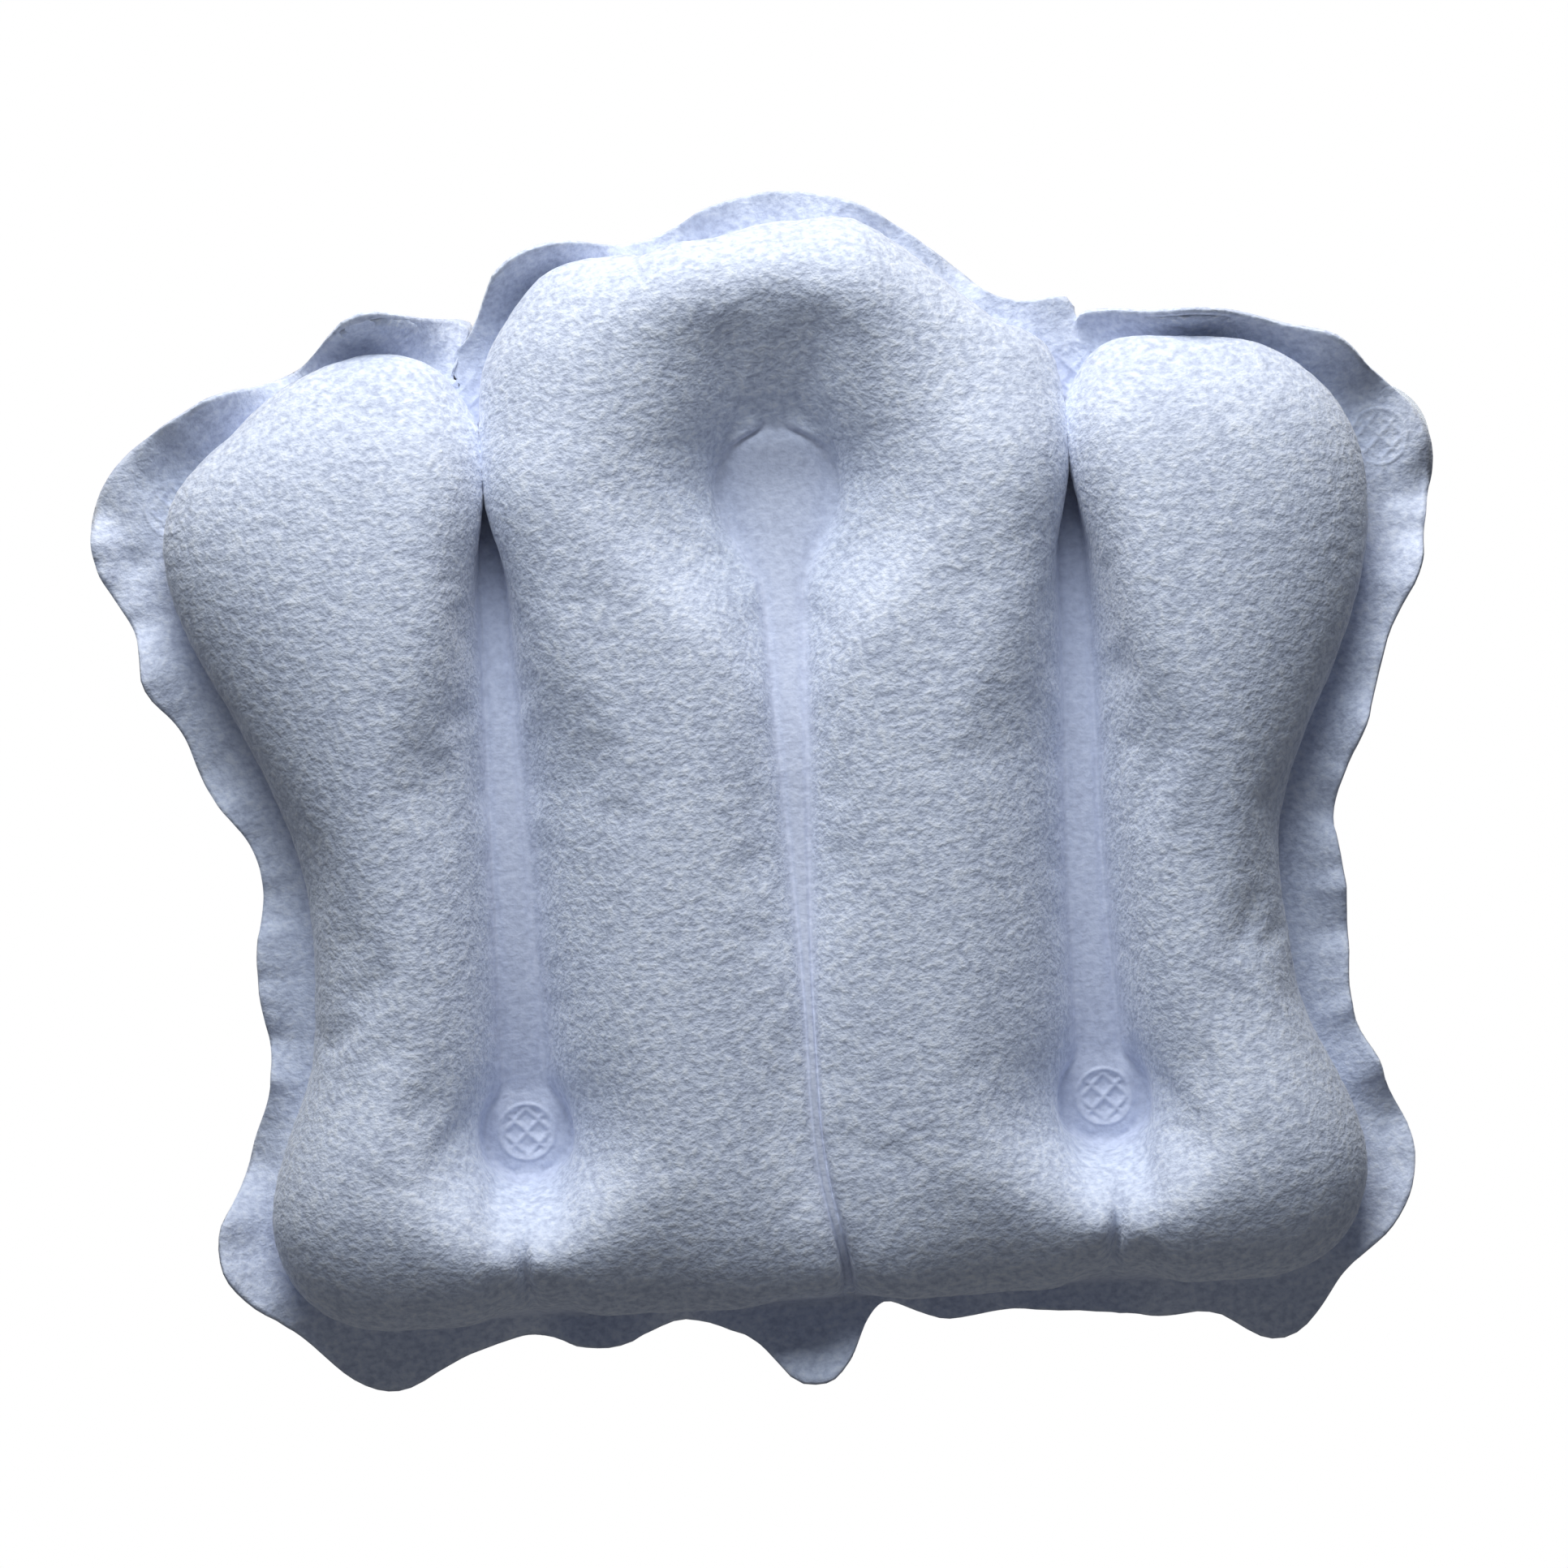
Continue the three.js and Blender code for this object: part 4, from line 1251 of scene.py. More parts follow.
@dataclass(frozen=True)
class TerryFinish:
    """Short terry pile on vinyl sheet, flattened and bluer where it is welded, with the bluer tint
    also painted shade low between the lobes.

    Attributes:
        name: The material's name.
        deep: Colour between the tufts.
        pile: Colour of the tufts.
        tip: Colour of the brightest fibre tips.
        weld: Colour where the pile is welded flat.
        weld_shade: Share of that colour left in its darker places.
        tuft: Tufts in a metre.
        turn: Turn of the tufts' rows in the sheet's plane.
        stretch: Scale of the tufts along each axis.
        fibre_pitch: Fibres to each tuft.
        fibre_share: Share of the fibres in the pattern.
        patch_scale: Worn patches in a metre.
        patch_roughness: Strength of the finer layers of the patches.
        patch_share: How much the patches lighten and darken the pile.
        stops: Places of the three colours along the pattern.
        weld_stops: Places of the two weld colours along it.
        press_and_shade_tint: How much of the weld's colour shows where the pile is welded flat,
            and as painted shade low between the lobes.
        pressed_relief: Share of the relief that is lost there.
        relief: Strength of the relief.
        relief_depth: Depth of the relief.
        roughness: How matt the pile is, from 0 to 1.
        sheen: Strength of the bright haze of its fibres.
        sheen_roughness: How wide that haze is spread.
        shine: Strength of its own shine, where 0.5 is usual.
    """

    name: str
    deep: Colour = (0.52, 0.57, 0.71)
    pile: Colour = (0.69, 0.745, 0.88)
    tip: Colour = (0.83, 0.87, 0.96)
    weld: Colour = (0.67, 0.715, 0.88)
    weld_shade: float = 0.86
    tuft: float = 500.0
    turn: float = math.radians(14)
    stretch: tuple[float, float, float] = (0.9, 0.9, 1.1)
    fibre_pitch: float = 2.6
    fibre_share: float = 0.2
    patch_scale: float = 38.0
    patch_roughness: float = 0.55
    patch_share: float = 0.16
    stops: tuple[float, float, float] = (0.35, 0.515, 0.67)
    weld_stops: tuple[float, float] = (0.3, 0.7)
    press_and_shade_tint: float = 0.65
    pressed_relief: float = 0.55
    relief: float = 0.43
    relief_depth: float = 0.0018
    roughness: float = 0.95
    sheen: float = 0.35
    sheen_roughness: float = 0.5
    shine: float = 0.15

    def build(self) -> bpy.types.Material:
        """Builds the material.

        Returns:
            The material.
        """
        sketch = SurfaceSketch(self.name)
        inputs = {"Vector": sketch.place, "Rotation": (0.0, self.turn, 0.0), "Scale": self.stretch}
        rows = sketch.add("Mapping", inputs).outputs["Vector"]
        tufts = sketch.speckle(self.tuft, 2.0, vector=rows)
        fibres = sketch.speckle(self.tuft * self.fibre_pitch, 1.0, vector=rows)
        patches = sketch.speckle(self.patch_scale, 3.0, roughness=self.patch_roughness)
        nap = sketch.blend((tufts, 1 - self.fibre_share), (fibres, self.fibre_share))
        uneven = sketch.math("SUBTRACT", patches, 0.5)
        worn = sketch.blend((nap, 1), (uneven, self.patch_share))
        colours = (self.deep, self.pile, self.tip)
        colour = sketch.ramp(worn, list(zip(self.stops, colours)))
        shaded = tuple(self.weld_shade * part for part in self.weld)
        tint = sketch.ramp(worn, list(zip(self.weld_stops, (shaded, self.weld))))
        # Painted shade as well as weld colour: the weld colour is mixed in on the welds and up the
        # low sides of the lobes, where it stands for light bounced between the lobes.
        pressed_and_shaded = sketch.add("Attribute", attribute_name="pressed_and_shaded").outputs["Fac"]
        colour = sketch.mix(sketch.math("MULTIPLY", pressed_and_shaded, self.press_and_shade_tint), colour, tint)
        lost = sketch.math("MULTIPLY", pressed_and_shaded, self.pressed_relief)
        height = sketch.math("MULTIPLY", nap, sketch.math("SUBTRACT", 1.0, lost))
        sketch.shade(
            Base_Color=colour,
            Roughness=self.roughness,
            Normal=sketch.bump(height, self.relief, self.relief_depth),
            Sheen_Weight=self.sheen,
            Sheen_Roughness=self.sheen_roughness,
            Specular_IOR_Level=self.shine,
        )
        return sketch.material


FRONT_TERRY = TerryFinish("front_terry")
BACK_TERRY = TerryFinish("back_terry", pile=(0.63, 0.69, 0.85))


@dataclass(frozen=True)
class SheetTrial:
    """Settings of the simulation that puckers a sheet, held softly outside its welds.

    Attributes:
        growth: How much bigger the cut sheet is than its place, which puckers it.
        pressure: Air pressure.
        frames: Steps of the simulation.
        most_moved: The most that a point may move.
        flange_hold: How firmly the flange is held, where the welds are held by 1.
        cloth: Other settings of the cloth, by their own names.
    """

    growth: float = 0.007
    pressure: float = 4.0
    frames: int = 20
    most_moved: float = 0.0017
    flange_hold: float = 0.5
    cloth: tuple[tuple[str, float], ...] = (
        ("quality", 6),
        ("mass", 0.3),
        ("tension_stiffness", 15),
        ("compression_stiffness", 15),
        ("shear_stiffness", 5),
        ("bending_stiffness", 0.6),
        ("pin_stiffness", 3),
    )

    def settle(self, trial: bpy.types.Object, held: bpy.types.VertexGroup) -> np.ndarray:
        """Runs the simulation.

        Args:
            trial: The sheet's mesh object.
            held: Its points that are held.

        Returns:
            Where the points end, one row each.
        """
        modifier = trial.modifiers.new("air", "CLOTH")
        settings = modifier.settings
        for name, value in self.cloth:
            setattr(settings, name, value)
        settings.use_pressure = True
        settings.uniform_pressure_force = self.pressure
        settings.shrink_min = -self.growth
        settings.vertex_group_mass = held.name
        settings.effector_weights.gravity = 0
        modifier.point_cache.frame_end = self.frames
        for step in range(1, self.frames + 1):
            bpy.context.scene.frame_set(step)
        solved = trial.evaluated_get(bpy.context.evaluated_depsgraph_get())
        return read_vectors(solved.data, "co")


@dataclass
class TerrySheet:
    """One terry-faced sheet, from its blown-up layout to the finished piece.

    Attributes:
        side: Which sheet it is.
        envelope: The pillow that it belongs to.
        finish: Its finish.
        marks: The weld marks on its front.
        trial: The simulation that puckers it.
        nap_depth: How high the tufts stand.
        nap_pitch: Tufts of the relief in a metre, along each axis.
        nap_pressed: Share of their height that is lost where the sheet is welded.
        hole_reach: Half the depth of the cut for the valve's hole.
        hole_sides: Number of sides of that hole.
    """

    side: Side
    envelope: Envelope
    finish: TerryFinish
    marks: WeldMarks = WeldMarks()
    trial: SheetTrial = SheetTrial()
    nap_depth: float = 0.00025
    nap_pitch: tuple[float, float, float] = (290.0, 300.0, 330.0)
    nap_pressed: float = 0.75
    hole_reach: float = 0.005
    hole_sides: int = 64

    @property
    def name(self) -> str:
        """The piece's name."""
        return f"{self.side.name.lower()}_sheet"

    @property
    def node(self) -> str:
        """The node that the sheet stands for."""
        return f"{self.side.name.lower()}_panel"

    def mesh_from(self, points: np.ndarray, quads: np.ndarray, name: str) -> bpy.types.Object:
        """Makes a mesh object whose faces point away from the air.

        Args:
            points: Its points, one row each.
            quads: Four point numbers for each face.
            name: Its name.

        Returns:
            The object.
        """
        ordered = quads if self.side is Side.FRONT else quads[:, ::-1]
        mesh = bpy.data.meshes.new(name)
        mesh.from_pydata(points.tolist(), [], ordered.tolist())
        mesh.update()
        made = bpy.data.objects.new(name, mesh)
        bpy.context.scene.collection.objects.link(made)
        return made

    def pucker(self, sheet: FilledSheet) -> None:
        """Lets the sheet find its own puckers under air pressure, held at its welds.

        Args:
            sheet: The sheet, whose points are moved.
        """
        trial = self.mesh_from(sheet.points, sheet.quads, "trial")
        held = trial.vertex_groups.new(name="held")
        flange_start = len(sheet.points) - self.envelope.flange_rings * len(sheet.rim)
        welded = np.flatnonzero(sheet.share[:flange_start] == 0)
        held.add(welded.tolist(), 1.0, "REPLACE")
        flange = range(flange_start, len(sheet.points))
        held.add(list(flange), self.trial.flange_hold, "REPLACE")
        shift = self.trial.settle(trial, held) - sheet.points
        length = np.linalg.norm(shift, axis=1)[:, None] + TINY
        most = self.trial.most_moved
        kept = most * np.tanh(length / most)
        log.info(
            "%s: a shift of %.1f mm is held to %.1f mm",
            self.name,
            length.max() * 1000,
            kept.max() * 1000,
        )
        sheet.points += shift / length * kept
        bpy.data.objects.remove(trial)
        bpy.context.scene.frame_set(1)

    def finish_mesh(self, sheet: FilledSheet) -> bpy.types.Object:
        """Makes the sheet's outer face fine and closes it with an inner face.

        Args:
            sheet: The sheet's settled shape.

        Returns:
            The finished piece.
        """
        piece = self.mesh_from(sheet.points, sheet.quads, self.name)
        pressed_and_shaded = piece.data.attributes.new("pressed_and_shaded", "FLOAT", "POINT")
        pressed_and_shaded.data.foreach_set("value", sheet.pressed_and_shaded.astype(np.float32))
        fine = piece.modifiers.new("fine", "SUBSURF")
        fine.levels = fine.render_levels = 1
        Bench.apply(piece, fine)
        self.raise_nap(piece)
        if self.side is Side.FRONT:
            self.marks.press(piece.data)
        inner = self.mesh_from(sheet.points, sheet.quads, "inner")
        deep = sheet.points - read_vectors(inner.data, "normal") * self.envelope.thickness
        inner.data.vertices.foreach_set("co", deep.ravel())
        shell = bmesh.new()
        shell.from_mesh(inner.data)
        bmesh.ops.reverse_faces(shell, faces=shell.faces)
        shell.from_mesh(piece.data)
        edge = [e for e in shell.edges if e.is_boundary]
        bmesh.ops.bridge_loops(shell, edges=edge)
        for face in shell.faces:
            face.smooth = True
        shell.to_mesh(piece.data)
        shell.free()
        bpy.data.objects.remove(inner)
        return piece

    def raise_nap(self, piece: bpy.types.Object) -> None:
        """Raises the pile's small tufts, less where the sheet is welded.

        Args:
            piece: The sheet's outer face.
        """
        co = read_vectors(piece.data, "co")
        pressed_and_shaded = np.empty(len(co), np.float32)
        piece.data.attributes["pressed_and_shaded"].data.foreach_get("value", pressed_and_shaded)
        tuft = np.array([noise.noise(Vector(place)) for place in co * self.nap_pitch])
        rise = tuft * self.nap_depth * (1 - self.nap_pressed * np.clip(pressed_and_shaded, 0, 1))
        co += read_vectors(piece.data, "normal") * rise[:, None]
        piece.data.vertices.foreach_set("co", co.ravel())
        piece.data.update()

    def cut_hole(self, piece: bpy.types.Object) -> None:
        """Cuts the hole that the valve's stem goes through.

        Args:
            piece: The sheet.
        """
        low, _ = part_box("valve_base")
        x, z = middle_of("valve_base")
        bpy.ops.object.select_all(action="DESELECT")
        bpy.ops.mesh.primitive_cylinder_add(
            vertices=self.hole_sides,
            radius=STEM_HOLE_RADIUS,
            depth=2 * self.hole_reach,
            location=(x, low[1], z),
            rotation=(math.pi / 2, 0, 0),
        )
        punch = bpy.context.object
        cut = piece.modifiers.new("hole", "BOOLEAN")
        cut.operation = "DIFFERENCE"
        cut.object = punch
        Bench.apply(piece, cut)
        bpy.data.objects.remove(punch)

    def build(self) -> bpy.types.Object:
        """Returns:
            The finished piece.
        """
        sheet = self.envelope.lay_out(self.side)
        self.pucker(sheet)
        piece = self.finish_mesh(sheet)
        piece.data.materials.append(self.finish.build())
        if self.side is Side.BACK:
            self.cut_hole(piece)
        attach(piece, "root")
        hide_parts(self.node)
        self.finish.name
        log.info("%s: %d faces", piece.name, len(piece.data.polygons))
        return piece


@dataclass(frozen=True)
class VinylFinish:
    """Soft moulded vinyl, with faint flow marks and dust in its gloss.

    Attributes:
        name: The material's name.
        body: Its main colour.
        cloud: Colour of its cloudier places.
        clearness: How much light passes through, from 0 to 1.
        gloss: Roughness where it is cleanest.
        dull: Roughness where it is dustiest.
        flow_scale: Flow marks in a metre.
        flow_warp: How far the marks are warped.
        flow_stops: Places of the two colours along the marks.
        dust_stops: Where along the marks it is cleanest and dustiest.
        grain_scale: Specks of the fine grain in a metre.
        grain_share: Strength of the grain beside the marks.
        relief: Strength of the relief.
        relief_depth: Depth of the relief.
        refraction: How strongly it bends light.
        coat: Strength of the clear gloss over it.
        coat_roughness: Roughness of that gloss.
    """

    name: str
    body: Colour
    cloud: Colour
    clearness: float
    gloss: float
    dull: float
    flow_scale: float = 160.0
    flow_warp: float = 1.2
    flow_stops: tuple[float, float] = (0.35, 0.7)
    dust_stops: tuple[float, float] = (0.35, 0.75)
    grain_scale: float = 1400.0
    grain_share: float = 0.4
    relief: float = 0.12
    relief_depth: float = 0.0006
    refraction: float = 1.52
    coat: float = 0.15
    coat_roughness: float = 0.12

    def build(self) -> bpy.types.Material:
        """Builds the material.

        Returns:
            The material.
        """
        sketch = SurfaceSketch(self.name)
        flow = sketch.speckle(self.flow_scale, 4.0, distortion=self.flow_warp)
        grain = sketch.speckle(self.grain_scale, 2.0)
        low, high = self.dust_stops
        span = {"From Min": low, "From Max": high, "To Min": self.gloss, "To Max": self.dull}
        dust = sketch.add("MapRange", {"Value": flow, **span}).outputs["Result"]
        height = sketch.blend((flow, 1), (grain, self.grain_share))
        sketch.shade(
            Base_Color=sketch.ramp(flow, list(zip(self.flow_stops, (self.body, self.cloud)))),
            Roughness=dust,
            Normal=sketch.bump(height, self.relief, self.relief_depth),
            IOR=self.refraction,
            Transmission_Weight=self.clearness,
            Coat_Weight=self.coat,
            Coat_Roughness=self.coat_roughness,
        )
        return sketch.material


CUP_VINYL = VinylFinish("cup_vinyl", (0.86, 0.90, 0.95), (0.78, 0.83, 0.90), 0.62, 0.10, 0.26)
VALVE_VINYL = VinylFinish("valve_vinyl", (0.62, 0.66, 0.80), (0.70, 0.73, 0.85), 0.10, 0.28, 0.46)


class Lathe:
    """Shapes a round piece about a line along Y, by drawing a ring out step by step."""

    def __init__(self, name: str, x: float, z: float, sides: int = 64) -> None:
        """Keeps what the piece is turned from.

        Args:
            name: The piece's name.
            x: Place of its line across.
            z: Place of its line up.
            sides: Its number of sides.
        """
        self.name = name
        self.x = x
        self.z = z
        self.sides = sides

    def draw(self, rings: list[tuple[float, float]], is_tube: bool = False) -> bpy.types.Object:
        """Draws a ring out through a list of radii and levels.

        Args:
            rings: Pairs of radius and place along Y, in order along the section.
            is_tube: Whether the section closes on itself, and not on its line.

        Returns:
            The closed piece, in object mode.
        """
        (radius, level), *further = rings
        bpy.ops.object.select_all(action="DESELECT")
        bpy.ops.mesh.primitive_circle_add(
            vertices=self.sides,
            radius=radius,
            fill_type="NOTHING",
            location=(self.x, level, self.z),
            rotation=(math.pi / 2, 0, 0),
        )
        piece = bpy.context.object
        piece.name = piece.data.name = self.name
        bpy.ops.object.mode_set(mode="EDIT")
        for next_radius, next_level in further:
            along = (0, next_level - level, 0)
            bpy.ops.mesh.extrude_region_move(TRANSFORM_OT_translate={"value": along})
            ratio = next_radius / radius
            middle = (self.x, next_level, self.z)
            bpy.ops.transform.resize(value=(ratio, 1, ratio), center_override=middle)
            radius, level = next_radius, next_level
        bpy.ops.mesh.select_all(action="DESELECT")
        bpy.ops.mesh.select_non_manifold()
        if is_tube:
            bpy.ops.mesh.bridge_edge_loops()
        else:
            bpy.ops.mesh.fill_holes(sides=0)
        bpy.ops.mesh.select_all(action="SELECT")
        bpy.ops.mesh.normals_make_consistent(inside=False)
        bpy.ops.object.mode_set(mode="OBJECT")
        bpy.ops.object.transform_apply(location=True, rotation=True, scale=True)
        return piece


class Bench:
    """Steps that finish the moulded pieces.

    Attributes:
        UPRIGHT: Least share of an edge's length along Y at which it counts as an upright one.
        CORNER_SEGMENTS: Faces across a block's rounded edge.
        SHARP: Angle past which an edge is rounded.
        SMOOTH: Angle up to which the shading is smooth.
    """

    UPRIGHT = 0.99
    CORNER_SEGMENTS = 5
    SHARP = math.radians(32)
    SMOOTH = math.radians(40)

    @staticmethod
    def cuboid(name: str, low: Vector, high: Vector) -> bpy.types.Object:
        """Makes a plain block.

        Args:
            name: The block's name.
            low: Its lowest corner.
            high: Its highest corner.

        Returns:
            The block, in object mode.
        """
        bpy.ops.object.select_all(action="DESELECT")
        bpy.ops.mesh.primitive_cube_add(size=1, location=(low + high) / 2, scale=high - low)
        piece = bpy.context.object
        piece.name = piece.data.name = name
        bpy.ops.object.transform_apply(location=True, rotation=True, scale=True)
        return piece

    @classmethod
    def block(cls, name: str, low: Vector, high: Vector, corner: float) -> bpy.types.Object:
        """Makes a flat block whose edges along Y are rounded.

        Args:
            name: The block's name.
            low: Its lowest corner.
            high: Its highest corner.
            corner: Radius of the rounding.

        Returns:
            The block, in object mode.
        """
        piece = cls.cuboid(name, low, high)
        bpy.ops.object.mode_set(mode="EDIT")
        mesh = bmesh.from_edit_mesh(piece.data)
        for edge in mesh.edges:
            along = (edge.verts[1].co - edge.verts[0].co).normalized()
            edge.select_set(abs(along.y) > cls.UPRIGHT)
        mesh.select_flush_mode()
        bmesh.update_edit_mesh(piece.data)
        bpy.ops.mesh.bevel(offset=corner, segments=cls.CORNER_SEGMENTS, affect="EDGES")
        bpy.ops.object.mode_set(mode="OBJECT")
        return piece

    @staticmethod
    def apply(piece: bpy.types.Object, modifier: bpy.types.Modifier) -> None:
        """Applies a modifier to a piece."""
        with bpy.context.temp_override(object=piece, active_object=piece):
            bpy.ops.object.modifier_apply(modifier=modifier.name)

    @classmethod
    def join(cls, piece: bpy.types.Object, other: bpy.types.Object) -> None:
        """Moulds another solid onto a piece, as one closed body.

        Args:
            piece: The piece.
            other: The solid, which is used up.
        """
        union = piece.modifiers.new("moulded", "BOOLEAN")
        union.operation = "UNION"
        union.solver = "EXACT"
        union.object = other
        cls.apply(piece, union)
        bpy.data.objects.remove(other)

    @classmethod
    def soften(cls, piece: bpy.types.Object, width: float, segments: int = 3) -> None:
        """Rounds the sharp edges and smooths the shading.

        Args:
            piece: The piece.
            width: Width of the rounding.
            segments: Faces across the rounding.
        """
        bevel = piece.modifiers.new("rounding", "BEVEL")
        bevel.width = width
        bevel.segments = segments
        bevel.limit_method = "ANGLE"
        bevel.angle_limit = cls.SHARP
        bevel.harden_normals = False
        cls.apply(piece, bevel)
        bpy.ops.object.select_all(action="DESELECT")
        piece.select_set(True)
        bpy.context.view_layer.objects.active = piece
        bpy.ops.object.shade_smooth_by_angle(angle=cls.SMOOTH)


@dataclass
class CupSet:
    """The six suction cups, moulded alike, each with a plate, a neck and a hollow bell.

    Attributes:
        nodes: The nodes that the cups stand for.
        finish: The finish of all of them.
        waist: How much the neck draws in at its middle.
        wall: Thickness at the middle of the hollow.
        bell_power: How trumpet-shaped the bell's back is.
        hollow_power: How bowl-shaped its hollow is.
        gate_radius: Radius of the moulding's gate mark.
        gate_taper: Radius of its top, as a share of its foot's.
        rounding: Width of the edge rounding.
        neck_steps: Rings along the neck.
        steps: Rings along the bell and along the hollow.
    """

    nodes: tuple[str, ...] = CUP_NODES
    finish: VinylFinish = CUP_VINYL
    plate_radius: float = 0.0085
    plate_thickness: float = 0.0016
    neck_radius: float = 0.005
    bell_depth: float = 0.0114
    waist: float = 0.0006
    lip_width: float = 0.0016
    lip_thickness: float = 0.0009
    wall: float = 0.0024
    bell_power: float = 1.6
    hollow_power: float = 3.0
    gate_radius: float = 0.0012
    gate_height: float = 0.0004
    gate_taper: float = 0.8
    rounding: float = 0.0003
    neck_steps: int = 6
    steps: int = 9

    def section(self, bell: float, height: float) -> list[tuple[float, float]]:
        """Section of a cup, from its weld plate to the middle of its hollow.

        Args:
            bell: Radius of the lip.
            height: From the weld plate to the lip.

        Returns:
            Pairs of radius and place along Y.
        """
        plate_y = -height + self.plate_thickness
        neck_y = -self.bell_depth
        hollow_y = neck_y + self.wall
        lip_y = -self.lip_thickness
        rings = [(self.plate_radius, -height), (self.plate_radius, plate_y)]
        for k in range(self.neck_steps + 1):
            share = k / self.neck_steps
            draw_in = self.waist * math.sin(math.pi * share)
            rings.append((self.neck_radius - draw_in, plate_y + (neck_y - plate_y) * share))
        for k in range(1, self.steps + 1):
            share = k / self.steps
            radius = self.neck_radius + (bell - self.neck_radius) * share
            rings.append((radius, neck_y + (lip_y - neck_y) * share**self.bell_power))
        inner = bell - self.lip_width
        rings += [(bell, 0.0), (inner, 0.0)]
        for k in range(1, self.steps):
            share = 1 - k / self.steps
            rings.append((inner * share, hollow_y * (1 - share**self.hollow_power)))
        gate_top = (self.gate_radius * self.gate_taper, hollow_y + self.gate_height)
        return [*rings, (self.gate_radius, hollow_y), gate_top]

    def build(self) -> None:
        """Models a cup of each height and sets a copy of it at each place."""
        material = self.finish.build()
        moulds = {}
        for node in self.nodes:
            low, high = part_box(node)
            height = round(high[1] - low[1], 4)
            if height not in moulds:
                section = self.section((high[0] - low[0]) / 2, high[1] - low[1])
                moulds[height] = Lathe("cup", 0.0, 0.0).draw(section)
                Bench.soften(moulds[height], self.rounding)
            first = moulds[height]
            cup = bpy.data.objects.new(node.replace("suction_cup", "cup"), first.data.copy())
            cup.data.name = cup.name
            x, z = middle_of(node)
            cup.data.transform(Matrix.Translation((x, high[1], z)))
            bpy.context.scene.collection.objects.link(cup)
            cup.data.materials.append(material)
            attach(cup, "root")
            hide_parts(node)
            self.finish.name
            log.info("%s: %d faces", cup.name, len(cup.data.polygons))
        for mould in moulds.values():
            bpy.data.objects.remove(mould)


